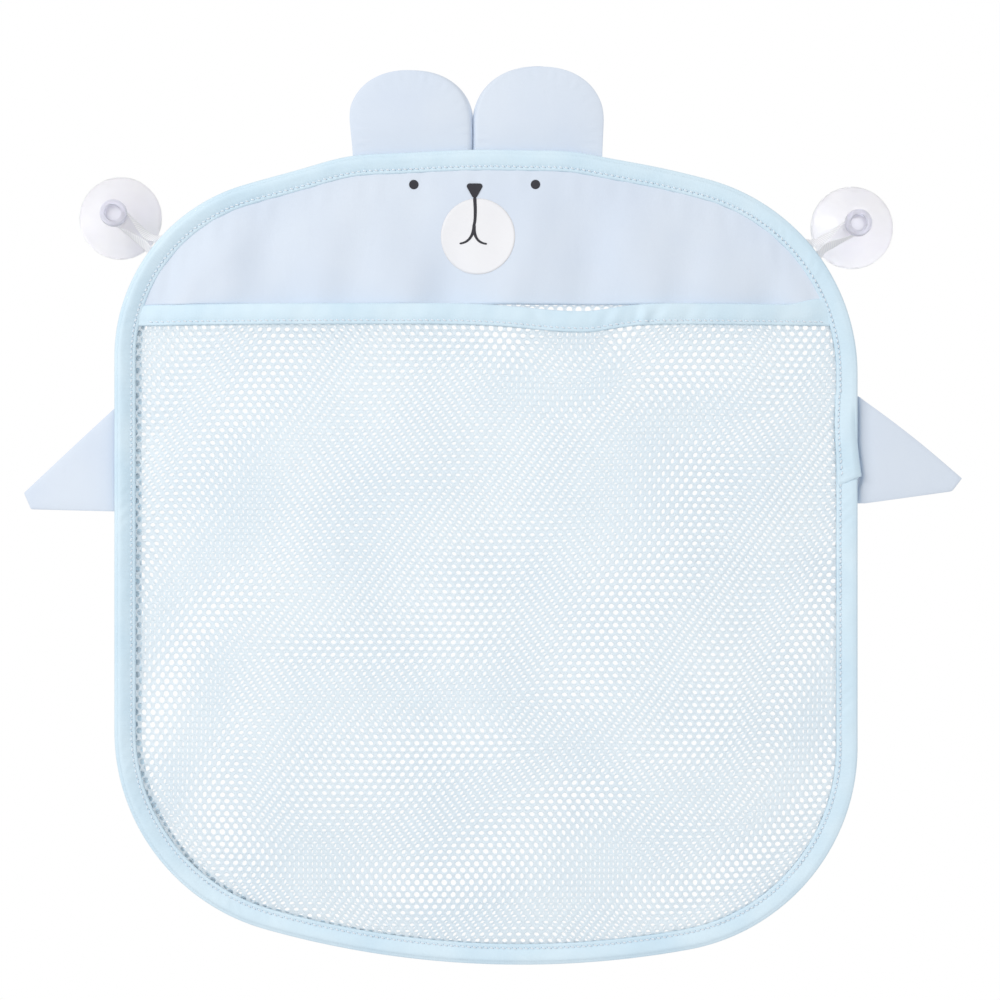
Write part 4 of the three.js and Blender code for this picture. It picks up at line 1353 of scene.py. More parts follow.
@dataclass
class HeadPanel:
    """The cloth over the top of the front: soft upright folds and a hem turned up behind."""

    inset: float = 2.6
    columns: int = 241
    rows: int = 56
    turn_up: float = 7.0
    turn_gap: float = 0.7
    turn_rows: int = 9
    turn_round: float = 8.0
    wall: float = 0.5

    def top(self, x: Array) -> Array:
        """The upper edge inside the binding: the top arc, then each shoulder's arc, all moved in."""
        outline = DRAPE.outline
        far = outline.long_arc(1.0)
        radius = far.radius - self.inset
        edge = far.z + np.sqrt(radius**2 - x**2)
        for side in Side:
            arc = outline.shoulder(side)
            small = arc.radius - self.inset
            beyond = np.clip(side.value * (x - arc.x), 0.0, small)
            past = side.value * x > radius * abs(math.sin(arc.lean))
            edge = np.where(past, arc.z + np.sqrt(small**2 - beyond**2), edge)
        return edge

    def end(self, side: Side) -> float:
        """Where the hem meets one shoulder's arc, moved in."""
        arc = DRAPE.outline.shoulder(side)
        reach = math.sqrt((arc.radius - self.inset) ** 2 - (DRAPE.layers.hem - arc.z) ** 2)
        return arc.x + side.value * reach

    def build(self) -> None:
        """Places the panel: columns from the turned-up hem round its fold and up to the top edge."""
        outline, hem = DRAPE.outline, DRAPE.layers.hem
        left, right = self.end(Side.LEFT), self.end(Side.RIGHT)
        x = 0.5 * (left + right) + 0.5 * (right - left) * bunched(self.columns)
        share = np.linspace(0.0, 1.0, self.rows)
        rise = np.maximum(self.top(x) - hem, 0.0)
        face_z = hem + share[:, None] * rise[None, :]
        back_share = np.linspace(1.0, 0.0, self.turn_rows)[:, None]
        back_z = hem + back_share * np.minimum(self.turn_up, 0.9 * rise)[None, :]
        grid_x = np.broadcast_to(x, face_z.shape)
        back_x = np.broadcast_to(x, back_z.shape)
        face_y = DRAPE.panel(grid_x, face_z)
        turned = self.turn_gap * np.sqrt(np.clip(back_share * self.turn_round, 0.0, 1.0))
        back_y = DRAPE.panel(back_x, back_z) + turned
        points = np.concatenate(
            [
                np.stack([back_x, back_y, back_z], axis=-1)[:-1],
                np.stack([grid_x, face_y, face_z], axis=-1),
            ]
        )
        run = np.concatenate([2.0 * hem - back_z[:-1], face_z])
        uv = np.stack([np.concatenate([back_x[:-1], grid_x]), run], axis=-1)
        shape = Shape.grid(points, uv).merged()
        nodes = ("head_panel",)
        panel = Piece("head_panel_cloth", shape, CLOTH, Slot.CLOTH, stands_for=nodes, thickness=self.wall)
        made = panel.place()


@dataclass
class Face:
    """The printed face: a pale muzzle disc, a round-cornered nose, a forked mouth and two dots."""

    middle: float = -5.5
    lift: float = 0.27
    layer: float = 0.08
    film: float = 0.04
    eye_r: float = 2.3
    eye_spacing: float = 59.0
    eye_z: float = 16.45
    nose_w: float = 7.6
    nose_h: float = 7.1
    nose_round: float = 1.4
    nose_top: float = 16.95
    nose_slope: float = 35.0
    muzzle_w: float = 36.0
    muzzle_h: float = 37.0
    muzzle_z: float = -8.85
    muzzle_shift: float = 1.6
    line_w: float = 1.7
    stem_start: float = 0.5
    stem_bow: float = 0.9
    fork: Place = (-0.7, -4.4)
    branch_tips: tuple[Place, ...] = ((-7.4, -12.3), (6.1, -12.6))

    def on_panel(self, x: Array, z: Array, layer: float) -> Array:
        """Points on the panel's face, lifted by the ink's layer."""
        y = DRAPE.panel(x, z) - self.lift - self.layer * layer
        return np.stack([x, y, z], axis=-1)

    def disc(self, x: Array, z: Array, layer: float, rings: int = 12) -> Shape:
        """A film over a closed outline: rings drawn in from it to its middle.

        Args:
            x: The outline's places across.
            z: The outline's heights.
            layer: How many layers of ink lie below, with this one.
            rings: The number of rings.

        Returns:
            The film's face.
        """
        share = np.linspace(0.0, 1.0, rings)[:, None]
        flat_x = x.mean() + share * (x - x.mean())[None, :]
        flat_z = z.mean() + share * (z - z.mean())[None, :]
        points = self.on_panel(flat_x, flat_z, layer)
        return Shape.grid(points, np.stack([flat_x, flat_z], axis=-1), wrap=True).merged()

    def stroke(self, start: Place, bend: Place, end: Place, layer: float, thin: float) -> Shape:
        """A brush line with round ends on a quadratic curve: (1-t)^2 a + 2t(1-t) b + t^2 c.

        Args:
            start: Where the line starts, from the middle of the face.
            bend: The point that it bends towards.
            end: Where it ends.
            layer: How many layers of ink lie below, with this one.
            thin: The share of its width that is left at its end.

        Returns:
            The line's face.
        """
        t = np.linspace(0.0, 1.0, 40)[:, None]
        a, b, c = (np.array(point) for point in (start, bend, end))
        line = (1 - t) ** 2 * a + 2 * t * (1 - t) * b + t**2 * c
        way = unit(np.gradient(line, axis=0))
        run = distances(line)
        half = 0.5 * self.line_w * (1.0 - (1.0 - thin) * run / run[-1])
        near_end = np.clip(np.minimum(run, run[-1] - run) / half, 0.0, 1.0)
        wide = half * np.sqrt(1.0 - (1.0 - near_end) ** 2)
        across = np.linspace(-1.0, 1.0, 7)[None, :] * wide[:, None]
        flat_x = self.middle + line[:, 0, None] - way[:, 1, None] * across
        flat_z = line[:, 1, None] + way[:, 0, None] * across
        points = self.on_panel(flat_x, flat_z, layer)
        return Shape.grid(points, np.stack([flat_x, flat_z], axis=-1)).merged()

    def nose_outline(self) -> tuple[Array, Array]:
        """Three corner arcs of a triangle that stands on its point."""
        r, side = self.nose_round, 0.5 * self.nose_w - self.nose_round
        high, low = self.nose_top - r, self.nose_top - self.nose_h + r
        slope = math.radians(self.nose_slope)
        up = 0.5 * math.pi
        arcs = [
            (-side, high, up, math.pi + slope),
            (0.0, low, math.pi + slope, TAU - slope),
            (side, high, TAU - slope, TAU + up),
        ]
        turns = [np.linspace(begin, end, 14) for _, _, begin, end in arcs]
        x = np.concatenate([cx + r * np.cos(turn) for (cx, _, _, _), turn in zip(arcs, turns)])
        z = np.concatenate([cz + r * np.sin(turn) for (_, cz, _, _), turn in zip(arcs, turns)])
        return self.middle + x, z

    def build(self) -> None:
        """Places the five films."""
        turn = np.arange(72) * TAU / 72
        muzzle = self.disc(
            self.middle + self.muzzle_shift + 0.5 * self.muzzle_w * np.cos(turn),
            self.muzzle_z + 0.5 * self.muzzle_h * np.sin(turn),
            1.0,
            rings=18,
        )
        nose = self.disc(*self.nose_outline(), 2.6)
        low = self.nose_top - self.nose_h + self.stem_start
        stem = self.stroke((0.0, low), (self.stem_bow, 0.4 * self.fork[1]), self.fork, 2.0, 0.8)
        root = (0.27 * self.fork[0], self.fork[1] + 1.3)
        branches = [
            self.stroke(root, (1.1 * self.fork[0], tip[1] + 0.5), tip, 2.2 + 0.2 * step, 0.5)
            for step, tip in enumerate(self.branch_tips)
        ]
        films = [
            ("muzzle_print", muzzle, WHITE_INK, Slot.WHITE_FILM, "muzzle"),
            ("nose_print", nose, BLACK_INK, Slot.BLACK_FILM, "nose"),
            ("mouth_print", Shape.joined([stem, *branches]), BLACK_INK, Slot.BLACK_FILM, "mouth_line"),
        ]
        for side in Side:
            eye = self.disc(
                self.middle + 0.5 * side.value * self.eye_spacing + self.eye_r * np.cos(turn),
                self.eye_z + self.eye_r * np.sin(turn),
                1.0,
            )
            films.append((f"{side.word}_eye_print", eye, BLACK_INK, Slot.BLACK_FILM, f"{side.word}_eye"))
        for name, shape, ink, slot, node in films:
            Piece(name, shape, ink, slot, stands_for=(node,), thickness=self.film).place()


@dataclass
class Flap:
    """A sewn flap on the bag's edge: its fold line, and its own frame along and out from the edge."""

    fold: Place
    normal: Place
    body: Body

    def to_bag(self, along: Array, y: Array, out: Array) -> Array:
        """Points of the flap's frame in the bag's: along the seam, off its middle plane and outwards."""
        nx, nz = self.normal
        x = self.fold[0] + along * nz + out * nx
        z = self.fold[1] - along * nx + out * nz
        return np.stack(np.broadcast_arrays(x, DRAPE.layers.seam + y, z), axis=-1)

    def point(self, out: float) -> Point:
        """A point in metres on the flap's middle plane, some way out from its fold."""
        x, y, z = self.to_bag(np.array(0.0), np.array(0.0), np.array(out)) * MM
        return float(x), float(y), float(z)

    def shell(self, along: Array, out: Array, half: Array, bend: Array) -> Shape:
        """Two layers of cloth sewn at their rim and turned: a closed lens over the flap's outline.

        Args:
            along: Places along the seam, rows x columns.
            out: Distances from the fold.
            half: Half the thickness, which falls to 0 at the rim.
            bend: How far the lens lies behind the flap's plane.

        Returns:
            The shell, with its UV map flat on the flap.
        """
        uv = np.stack([along, out], axis=-1)
        front = Shape.grid(self.to_bag(along, bend - half, out), uv)
        back = Shape.grid(self.to_bag(along, bend + half, out), uv).flipped()
        return Shape.joined([front, back]).merged().turned_out()

    def blend(self, made: bpy.types.Object, reach: float = 1.6) -> None:
        """Bakes a piece's transform into its mesh; the points either side of the fold are worked out but not
        used, so the piece is neither bent at the fold nor tied to the flap's body.
        """
        self.point(-reach)
        self.point(reach)
        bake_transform(made)


@dataclass(frozen=True)
class EarCut:
    """How one ear is cut: its width, its height and how far its outer side widens."""

    width: float
    tall: float
    flare: float


EAR_CUTS = {Side.LEFT: EarCut(60.5, 37.3, 2.4), Side.RIGHT: EarCut(63.7, 39.0, 1.1)}


@dataclass
class Ear:
    """A padded ear: two layers of cloth over thin wadding, sewn behind the top binding."""

    side: Side
    meet_x: float = -6.35
    gap: float = 0.7
    overlap: float = 0.35
    stagger: float = 0.5
    roll: float = 4.2
    seam_out: float = 2.2
    tuck: float = 9.0
    shoulder: float = 10.5
    fullness: float = 2.25
    layers_half: float = 0.55
    filling: float = 2.1
    filling_span: Span = (-5.0, 13.0)
    pucker: float = 0.1
    pucker_share: float = 0.84
    pucker_wide: float = 0.1
    pucker_waves: tuple[Wave, ...] = ((1.0, 6.3, 0.2), (0.8, 4.1, 0.6))
    foot_round: float = 0.6
    touch_span: Span = (-6.0, -3.0)
    stagger_wide: float = 3.0
    roll_wide: float = 1.1
    flare_foot: float = -4.0
    flare_tall: float = 24.0
    columns: int = 41

    def flap(self) -> Flap:
        """The level fold, a little above the top of the bag, beside the line where the ears meet."""
        x = self.meet_x + 0.5 * self.side.value * (EAR_CUTS[self.side].width + self.gap)
        return Flap((x, DRAPE.outline.top + self.seam_out), (0.0, 1.0), Body(f"{self.side.word}_ear"))

    def cut(self, foot: float) -> tuple[Array, Array, Array]:
        """The ear's outline row by row.

        Its sides are straight up to the shoulder. Above, the height is s + (h - s) sin(t)^(2/n) and
        the half width w cos(t)^(2/n), where n is the fullness.

        Args:
            foot: The height of the lowest row below the fold.

        Returns:
            The rows' heights above the fold, and their reach to the outer and the inner side.
        """
        size = EAR_CUTS[self.side]
        half = 0.5 * size.width
        turn = np.linspace(0.0, 0.5 * math.pi, 30)
        power = 2.0 / self.fullness
        below = np.linspace(foot, 0.0, 12)[:-1]
        straight = np.concatenate([below, np.linspace(0.0, self.shoulder, 12)[:-1]])
        out = np.concatenate([straight, self.shoulder + (size.tall - self.shoulder) * np.sin(turn) ** power])
        touch = (0.5 * self.gap + self.overlap) * smoothstep(*self.touch_span, out)
        bow = np.concatenate([np.ones(len(straight)), np.cos(turn) ** power])
        widened = np.clip((out - self.flare_foot) / self.flare_tall, 0.0, 1.0)
        outer = half * bow - size.flare * (1.0 - widened)
        return out, outer, (half + touch) * bow

    def build(self) -> None:
        """Places the ear; its inner rim passes in front of or behind the other ear's."""
        flap, size = self.flap(), EAR_CUTS[self.side]
        foot = -self.seam_out - self.tuck
        out, outer, inner = self.cut(foot)
        low, high = (-outer, inner) if self.side is Side.LEFT else (-inner, outer)
        met = high if self.side is Side.LEFT else low
        across = bunched(self.columns)[None, :]
        along = 0.5 * (low + high)[:, None] + 0.5 * (high - low)[:, None] * across
        above = np.clip((out - self.shoulder) / (size.tall - self.shoulder), 0.0, 1.0)[:, None]
        share = np.clip(np.sqrt(above**2 + across**2 * (1.0 - above**2)), 0.0, 1.0)
        puff = self.filling * (1.0 - share**2) ** 0.75 * smoothstep(*self.filling_span, out)[:, None]
        arc = np.arctan2(along, (out - 0.4 * self.shoulder)[:, None]) * 0.5 * size.width
        puckers = self.pucker * hump(share, self.pucker_share, self.pucker_wide)
        puff = puff + puckers * ripple(arc, *self.pucker_waves)
        edge = np.sqrt(np.clip((out - foot) / self.foot_round, 0.0, 1.0))[:, None] * np.sqrt(1.0 - above**8)
        half = self.layers_half * edge * np.sqrt(1.0 - across**8) + np.clip(puff, 0.0, None)
        rim = self.side.value * (along - met[:, None])
        touch = smoothstep(*self.touch_span, out)[:, None]
        bend = -self.side.value * self.stagger * hump(rim, 0.0, self.stagger_wide) * touch
        bend = bend + self.roll * hump(rim, 0.0, self.roll_wide) * touch * (1.0 - above**2)
        drop = DRAPE.outline.top - DRAPE.outline.crown(flap.fold[0] + along)
        rows = out[:, None] - drop * np.clip(out / foot, 0.0, 1.0)[:, None]
        shape = flap.shell(along, rows, half, bend)
        nodes = tuple(f"{self.side.word}_ear_{part}" for part in ("base", "front", "back", "wadding"))
        ear = Piece(f"{self.side.word}_ear_pad", shape, CLOTH, Slot.CLOTH, flap.body, nodes)
        made = ear.place(rides=False)
        flap.blend(made)


@dataclass(frozen=True)
class HandCut:
    """How one hand is cut: where its seam starts, how far it reaches, and its two blunt corners.

    The corners are given by their drop below the seam's top. The upper edge bows out by bow. Beside
    the tape the cloth dips by groove, then stands forward by rise.
    """

    top: float
    reach: float
    tip_drop: float
    blunt_drop: float
    blunt_back: float
    bow: float
    lap: float
    groove: float
    rise: float


HAND_CUTS = {
    Side.LEFT: HandCut(-92.3, 44.6, 40.8, 48.8, 3.6, 0.0, 0.0, 0.2, 0.0),
    Side.RIGHT: HandCut(-88.4, 48.1, 37.6, 43.9, 4.9, 1.0, 3.0, 3.2, 0.8),
}


@dataclass
class Hand:
    """A flat hand: two layers of cloth sewn together, turned and caught behind the side binding."""

    side: Side
    base: float = 49.8
    tuck: float = 9.0
    seam_out: float = 1.4
    corner: float = 0.4
    tip: float = 0.9
    layers_half: float = 0.6
    plump: float = 0.4
    curl: float = 4.0
    plump_from: float = 6.0
    tip_round: float = 3.0
    foot_round: float = 0.6
    fold_span: Span = (-6.0, 2.0)
    groove_off: float = 0.5
    groove_wide: float = 0.75
    rise_span: Span = (0.8, 3.0)
    columns: int = 49

    def flap(self) -> Flap:
        """The fold on the straight side, outside the binding and its lap."""
        cut = HAND_CUTS[self.side]
        x = self.side.value * (DRAPE.outline.half_width + self.seam_out + cut.lap)
        normal = (float(self.side.value), 0.0)
        return Flap((x, cut.top - 0.5 * self.base), normal, Body(f"{self.side.word}_hand"))

    def edges(self, out: Array) -> tuple[Array, Array]:
        """The upper and lower edge: straight lines, rounded where two of them meet.

        The lower edge is the soft greater one of two lines, c log(exp(a / c) + exp(b / c)).

        Args:
            out: Distances from the fold.

        Returns:
            The heights of both edges over the middle of the seam.
        """
        cut, half = HAND_CUTS[self.side], 0.5 * self.base
        seen = np.maximum(out, -self.seam_out - cut.lap)
        share = np.clip(out / cut.reach, 0.0, 1.0)
        upper = half - cut.tip_drop * seen / cut.reach + cut.bow * np.sin(math.pi * share)
        blunt = cut.reach - cut.blunt_back
        underside = -half + (self.base - cut.blunt_drop) * np.clip(out / blunt, 0.0, None)
        end = half - cut.blunt_drop + (out - blunt) * (cut.blunt_drop - cut.tip_drop) / cut.blunt_back
        lower = self.corner * np.logaddexp(underside / self.corner, end / self.corner)
        close = np.sqrt(1.0 - np.clip((out - cut.reach + self.tip) / self.tip, 0.0, 1.0) ** 2)
        middle, spread = 0.5 * (upper + lower), 0.5 * np.maximum(upper - lower, 0.0) * close
        return middle + spread, middle - spread

    def build(self) -> None:
        """Places the hand: rows from the sewn foot out to the tip."""
        flap, cut = self.flap(), HAND_CUTS[self.side]
        foot = -self.tuck - self.seam_out - cut.lap
        near_end = cut.reach - cut.blunt_back - 2.0
        out = np.concatenate(
            [
                np.linspace(foot, self.fold_span[0], 6)[:-1],
                np.linspace(*self.fold_span, 44)[:-1],
                np.linspace(self.fold_span[1], near_end, 24)[:-1],
                np.linspace(near_end, cut.reach, 34),
            ]
        )
        upper, lower = self.edges(out)
        across = bunched(self.columns)[None, :]
        place = 0.5 * (upper + lower)[:, None] + 0.5 * (upper - lower)[:, None] * across
        tip = np.clip((cut.reach - out) / self.tip_round, 0.0, 1.0)
        close = np.sqrt(tip * np.clip((out - foot) / self.foot_round, 0.0, 1.0))
        plump = self.plump * np.clip(out / self.plump_from, 0.0, 1.0)[:, None] * (1.0 - across**4)
        half = close[:, None] * (self.layers_half * np.sqrt(1.0 - across**8) + plump)
        rows = np.broadcast_to(out[:, None], place.shape)
        swell = EDGE.beyond(flap.fold[1] + place) if self.side is Side.RIGHT else 0.0
        off = rows + self.seam_out + cut.lap - swell
        bend = self.curl * np.clip(rows / cut.reach, 0.0, 1.0) ** 1.5
        bend = bend + cut.groove * hump(off, self.groove_off, self.groove_wide)
        bend = bend - cut.rise * smoothstep(*self.rise_span, off)
        shape = flap.shell(-self.side.value * place, rows, half, bend)
        nodes = tuple(f"{self.side.word}_hand_{part}" for part in ("base", "front", "back"))
        hand = Piece(f"{self.side.word}_hand_cloth", shape, CLOTH, Slot.CLOTH, flap.body, nodes)
        made = hand.place(rides=False)
        flap.blend(made)


@dataclass
class HangingLoop:
    """A grosgrain ribbon that leaves the seam flat, turns edge-on and passes round a cup's neck."""

    side: Side
    seam_out: float = 2.0
    shift: float = 2.5
    tuck: float = 9.0
    width: float = 8.0
    half_t: float = 0.3
    rib: float = 1.0
    rib_height: float = 0.07
    neck: float = 4.1
    strand_x: float = 4.15
    root_x: float = 2.1
    first_turn: float = 0.67
    last_turn: float = 0.33
    turn_span: Span = (-7.0, 1.0)
    root_span: Span = (-3.0, 4.0)
    spread_from: float = 3.0
    end_round: float = 0.4
    columns: int = 13
    step: float = 0.25

    def flap(self) -> tuple[Flap, float]:
        """The fold on the shoulder's arc, a little above the line to the cup, and the way to the cup."""
        arc = DRAPE.outline.shoulder(self.side)
        cup = np.array(CUP_PLACES[self.side])
        turn = math.atan2(cup[1] - arc.z, cup[0] - arc.x) + self.side.value * self.shift / arc.radius
        root = np.array([arc.x, arc.z]) + arc.radius * np.array([math.cos(turn), math.sin(turn)])
        far = float(np.linalg.norm(cup - root))
        normal = (cup - root) / far
        fold = root + self.seam_out * normal
        x, z, out_x, out_z = (float(value) for value in (*fold, *normal))
        made = Flap((x, z), (out_x, out_z), Body(f"{self.side.word}_ribbon"))
        return made, far - self.seam_out

    def strand(self, out: Array, reach: float) -> tuple[Array, Array]:
        """The first strand's middle line and its width's direction.

        It leaves the seam flat, makes its first turn at the fold and the last one on the way to the
        neck, where it stands edge-on.

        Args:
            out: Distances from the fold, from the sewn tail to the neck.
            reach: The distance from the fold to the cup's axis.

        Returns:
            The line and the unit vector across the ribbon, each as along, y and out.
        """
        turn = self.first_turn * smoothstep(*self.turn_span, out)
        turn = turn + self.last_turn * smoothstep(self.turn_span[1], reach, out)
        zero = np.zeros_like(out)
        aside = self.strand_x + (self.root_x - self.strand_x) * smoothstep(*self.root_span, out)
        aside = aside + (self.neck - aside) * smoothstep(self.spread_from, reach, out)
        line = np.stack([aside, zero, out], axis=1)
        angle = 0.5 * math.pi * turn
        return line, np.stack([np.cos(angle), np.sin(angle), zero], axis=1)

    def build(self) -> None:
        """Places the ribbon: up one strand, half round the neck and back down the other."""
        flap, reach = self.flap()
        foot = -self.tuck - self.seam_out
        out = np.linspace(foot, reach, round((reach - foot) / self.step))
        line, wide = self.strand(out, reach)
        bow = np.linspace(0.0, math.pi, round(math.pi * self.neck / self.step))[1:-1]
        arc = np.stack([self.neck * np.cos(bow), np.zeros_like(bow), reach + self.neck * np.sin(bow)], axis=1)
        flat = np.tile([0.0, 1.0, 0.0], (len(bow), 1))
        mirror = np.array([-1.0, 1.0, 1.0])
        middle = np.concatenate([line, arc, line[::-1] * mirror])
        near_bag = 1.0 - smoothstep(self.spread_from, reach, middle[:, 2])
        middle[:, 0] += RIBBON_LEANS[self.side] * near_bag
        across = np.concatenate([wide, flat, wide[::-1] * mirror])
        way = np.gradient(middle, axis=0)
        way -= across * (way * across).sum(axis=1, keepdims=True)
        thick = unit(np.cross(way, across))
        run = distances(middle)
        share = bunched(self.columns)
        ring = np.concatenate([share, share[-2:0:-1]])
        face = np.concatenate([np.ones(len(share)), -np.ones(len(share) - 2)])
        ribs = self.half_t - self.rib_height * np.cos(TAU * run / self.rib)
        closing = np.sqrt(np.clip(np.minimum(run, run[-1] - run) / self.end_round, 0.0, 1.0))
        half = (ribs * closing)[:, None] * (face * np.sqrt(1.0 - ring**8))[None, :]
        local = (
            middle[:, None, :]
            + across[:, None, :] * (0.5 * self.width * ring)[None, :, None]
            + thick[:, None, :] * half[..., None]
        )
        points = flap.to_bag(local[..., 0], local[..., 1], local[..., 2])
        uv = np.stack(np.broadcast_arrays(run[:, None], (0.5 * self.width * ring)[None, :]), axis=-1)
        shape = Shape.grid(points, uv, wrap=True).merged().turned_out()
        nodes = (f"{self.side.word}_loop", f"{self.side.word}_loop_tail")
        ribbon = Piece(f"{self.side.word}_loop_ribbon", shape, RIBBON, Slot.RIBBON, flap.body, nodes)
        made = ribbon.place(rides=False)
        flap.blend(made, reach=1.2)


@dataclass
class SuctionCup:
    """A moulded suction cup: a hollow dome on a thin lip, a neck for the ribbon and a recessed knob."""

    side: Side
    radius: float = 20.3
    lip_w: float = 2.5
    lip_t: float = 0.9
    dome: float = 9.0
    dome_power: float = 1.2
    hollow: float = 4.0
    neck_r: float = 3.5
    neck_length: float = 8.5
    knob_r: float = 6.5
    knob_t: float = 4.2
    edge: float = 1.0
    recess_r: float = 4.0
    recess: float = 1.6
    soft: float = 0.35
    segments: int = 96

    @staticmethod
    def rounded(cx: float, cz: float, r: float, begin: float, end: float, count: int = 9) -> Array:
        """A rounded edge of the section: an arc given in quarter turns."""
        turn = np.linspace(begin, end, count) * 0.5 * math.pi
        return np.stack([cx + r * np.cos(turn), cz + r * np.sin(turn)], axis=1)

    def section(self) -> Array:
        """Half of the cup's section as radius and height, from the middle of the hollow to the recess.

        The hollow is a parabola and the dome rises as sin(t)^p from the lip to the neck.

        Returns:
            Array of points.
        """
        share = np.linspace(0.0, 1.0, 28)
        hollow_r = self.radius - self.lip_w
        hollow = np.stack([hollow_r * share, self.hollow * (1.0 - share**2)], axis=1)
        lip_r = 0.45 * self.lip_t
        lip = self.rounded(self.radius - lip_r, lip_r, lip_r, -1.0, 1.0)
        rise = self.lip_t + (self.dome - self.lip_t) * np.sin(0.5 * math.pi * share) ** self.dome_power
        outer = np.stack([self.radius + (self.neck_r - self.radius) * share, rise], axis=1)[1:]
        base, top = self.dome + self.neck_length, self.dome + self.neck_length + self.knob_t
        edge, soft, knob, recess = self.edge, self.soft, self.knob_r, self.recess_r
        floor = top - self.recess
        return np.concatenate(
            [
                hollow,
                lip,
                outer,
                np.array([[self.neck_r, base - soft]]),
                self.rounded(self.neck_r + soft, base - soft, soft, 2.0, 1.0, 5),
                self.rounded(knob - edge, base + edge, edge, -1.0, 0.0),
                self.rounded(knob - edge, top - edge, edge, 0.0, 1.0),
                self.rounded(recess + soft, top - soft, soft, 1.0, 2.0, 5),
                self.rounded(recess - soft, floor + soft, soft, 0.0, -1.0, 5),
                np.array([[0.5 * recess, floor - 0.1], [0.0, floor - 0.15]]),
            ]
        )

    def build(self) -> None:
        """Places the cup: its section turned round an axis that stands out from the wall."""
        section = self.section()
        turn = np.arange(self.segments) * TAU / self.segments
        centre = CUP_PLACES[self.side]
        x = centre[0] + section[:, 0, None] * np.cos(turn)[None, :]
        z = centre[1] + section[:, 0, None] * np.sin(turn)[None, :]
        y = np.broadcast_to(-section[:, 1, None], x.shape)
        uv = np.stack(np.broadcast_arrays(self.radius * turn[None, :], section[:, 1, None]), axis=-1)
        shape = Shape.grid(np.stack([x, y, z], axis=-1), uv, wrap=True).merged().turned_out()
        body = Body(f"{self.side.word}_cup")
        node = (f"{self.side.word}_suction_cup",)
        Piece(f"{self.side.word}_suction_cup_pvc", shape, PVC, Slot.PVC, body, node).place()


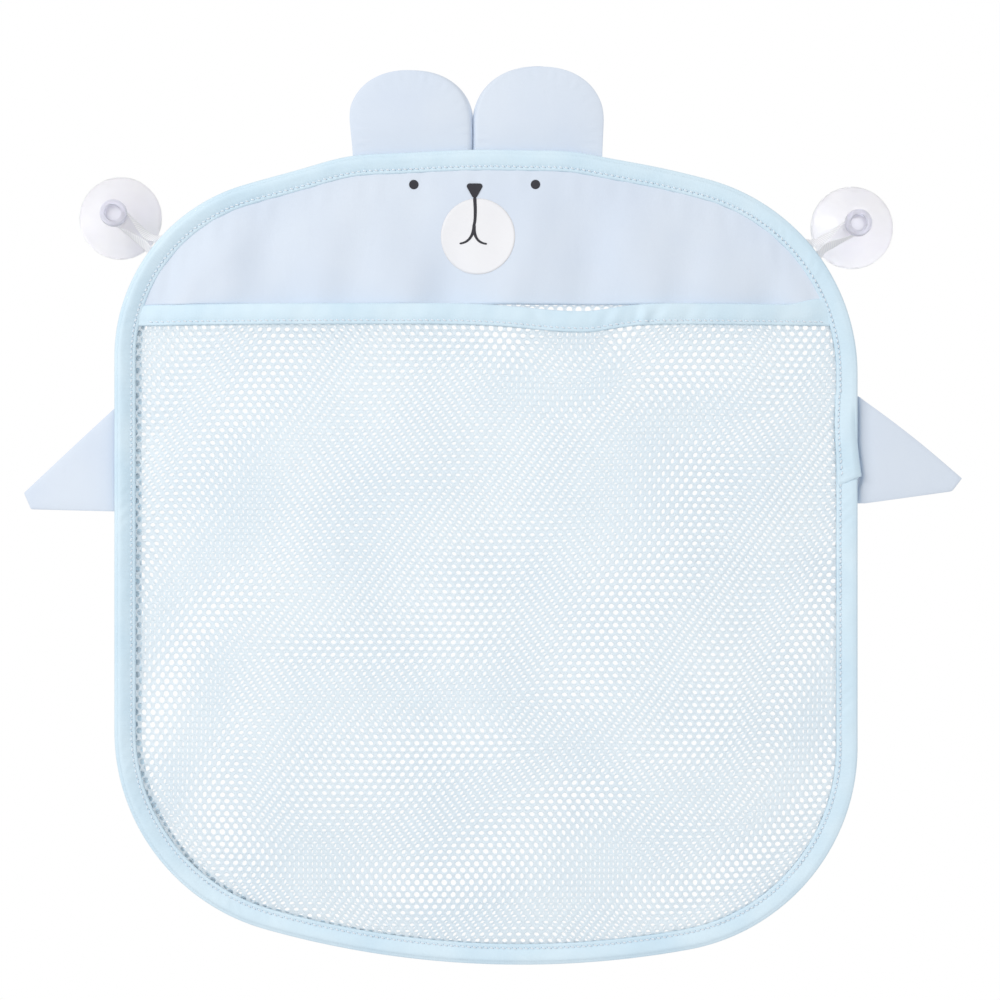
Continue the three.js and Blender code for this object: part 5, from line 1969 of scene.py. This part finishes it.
@dataclass
class Studio:
    """The camera at the photograph's angle, soft light, a white surround and a pale floor."""

    distance: float = 1000.0
    view_width: float = 485.0
    centre: Place = (6.8, -136.55)
    face_y: float = -17.5
    floor_z: float = -620.0
    floor_half: float = 520.0
    floor_dish: float = 4.0
    ambient: float = 0.64
    target: Point = (0.0, -0.02, -0.15)

    def camera(self) -> None:
        """A level camera square on to the bag; its field at the bag's face is the photograph's width."""
        data = bpy.data.cameras.new("camera")
        data.sensor_fit = "HORIZONTAL"
        data.angle = 2.0 * math.atan(0.5 * self.view_width / self.distance)
        made = bpy.data.objects.new("camera", data)
        made.location = (self.centre[0] * MM, (self.face_y - self.distance) * MM, self.centre[1] * MM)
        made.rotation_euler = (0.5 * math.pi, 0.0, 0.0)
        bpy.context.scene.collection.objects.link(made)
        bpy.context.scene.camera = made

    def surround(self) -> None:
        """A white world for camera, glossy and transmitted rays, and a softer one that lights the bag."""
        world = bpy.data.worlds.new("studio")
        world.use_nodes = True
        tree = world.node_tree
        tree.nodes.clear()
        rays = add(tree, "ShaderNodeLightPath").outputs
        seen = add(
            tree,
            "ShaderNodeMath",
            {0: rays["Is Camera Ray"], 1: rays["Is Glossy Ray"]},
            operation="MAXIMUM",
        )
        either = add(
            tree,
            "ShaderNodeMath",
            {0: seen.outputs[0], 1: rays["Is Transmission Ray"]},
            operation="MAXIMUM",
        )
        white = (1.0, 1.0, 1.0, 1.0)
        light = add(tree, "ShaderNodeBackground", {"Color": white, "Strength": self.ambient})
        backdrop = add(tree, "ShaderNodeBackground", {"Color": white, "Strength": 1.0})
        mixed = add(
            tree,
            "ShaderNodeMixShader",
            {0: either.outputs[0], 1: light.outputs[0], 2: backdrop.outputs[0]},
        )
        add(tree, "ShaderNodeOutputWorld", {"Surface": mixed.outputs[0]})
        bpy.context.scene.world = world

    def lamp(self, name: str, place: Point, size: float, power: float) -> None:
        """A square soft box aimed at the middle of the bag, in metres and watts."""
        data = bpy.data.lights.new(name, "AREA")
        data.size = size
        data.energy = power
        made = bpy.data.objects.new(name, data)
        away = np.array(place) - np.array(self.target)
        flat = math.hypot(away[0], away[1])
        made.location = place
        made.rotation_euler = (math.atan2(flat, away[2]), 0.0, math.atan2(away[1], away[0]) + 0.5 * math.pi)
        bpy.context.scene.collection.objects.link(made)

    def floor(self) -> None:
        """A pale board below the bag, a gently dished grid so that its far edges fall away."""
        steps = np.linspace(-1.0, 1.0, 25)
        x, y = np.meshgrid(self.floor_half * steps, self.floor_half * steps)
        fall = (x / self.floor_half) ** 8 + (y / self.floor_half) ** 8
        z = self.floor_z - self.floor_dish * fall
        shape = Shape.grid(np.stack([x, y, z], axis=-1), np.stack([x, y], axis=-1))
        made = shape.to_object("floor")
        made.data.materials.append(FLOOR.material())

    def build(self) -> None:
        """Sets the stage and the view transform."""
        self.camera()
        self.surround()
        self.lamp("key", (-1.15, -1.15, 0.55), 0.8, 10.8)
        self.lamp("fill", (0.9, -1.9, 0.3), 1.6, 6.0)
        self.lamp("rear", (0.4, 1.8, 0.9), 1.6, 7.0)
        self.floor()
        bpy.context.scene.view_settings.view_transform = "Standard"


def corners(box: Sequence[Sequence[float]]) -> list[list[float]]:
    """A box as plain lists of numbers."""
    return [[float(value) for value in corner] for corner in box]


def main() -> None:
    """Builds the organizer piece by piece."""
    logging.basicConfig(level=logging.INFO, format="%(name)s %(message)s")
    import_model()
    Studio().build()
    back = NetSheet("back_net_mesh", flat=(354.0, 389.4), top=31.0, phase=(0.0, 0.5), front=False)
    back.build("back_net")
    pocket = NetSheet(
        "front_net_mesh",
        flat=(360.0, 335.0),
        top=-45.25,
        phase=(0.25, 0.5),
        front=True,
        pitch_x=4.33,
        pitch_z=3.01,
        shear=0.045,
    )
    pocket.build("front_net")
    HeadPanel().build()
    EDGE.build()
    MouthBinding().build()
    Face().build()
    for side in Side:
        Ear(side).build()
        Hand(side).build()
        HangingLoop(side).build()
        SuctionCup(side).build()


if __name__ == "__main__":
    main()
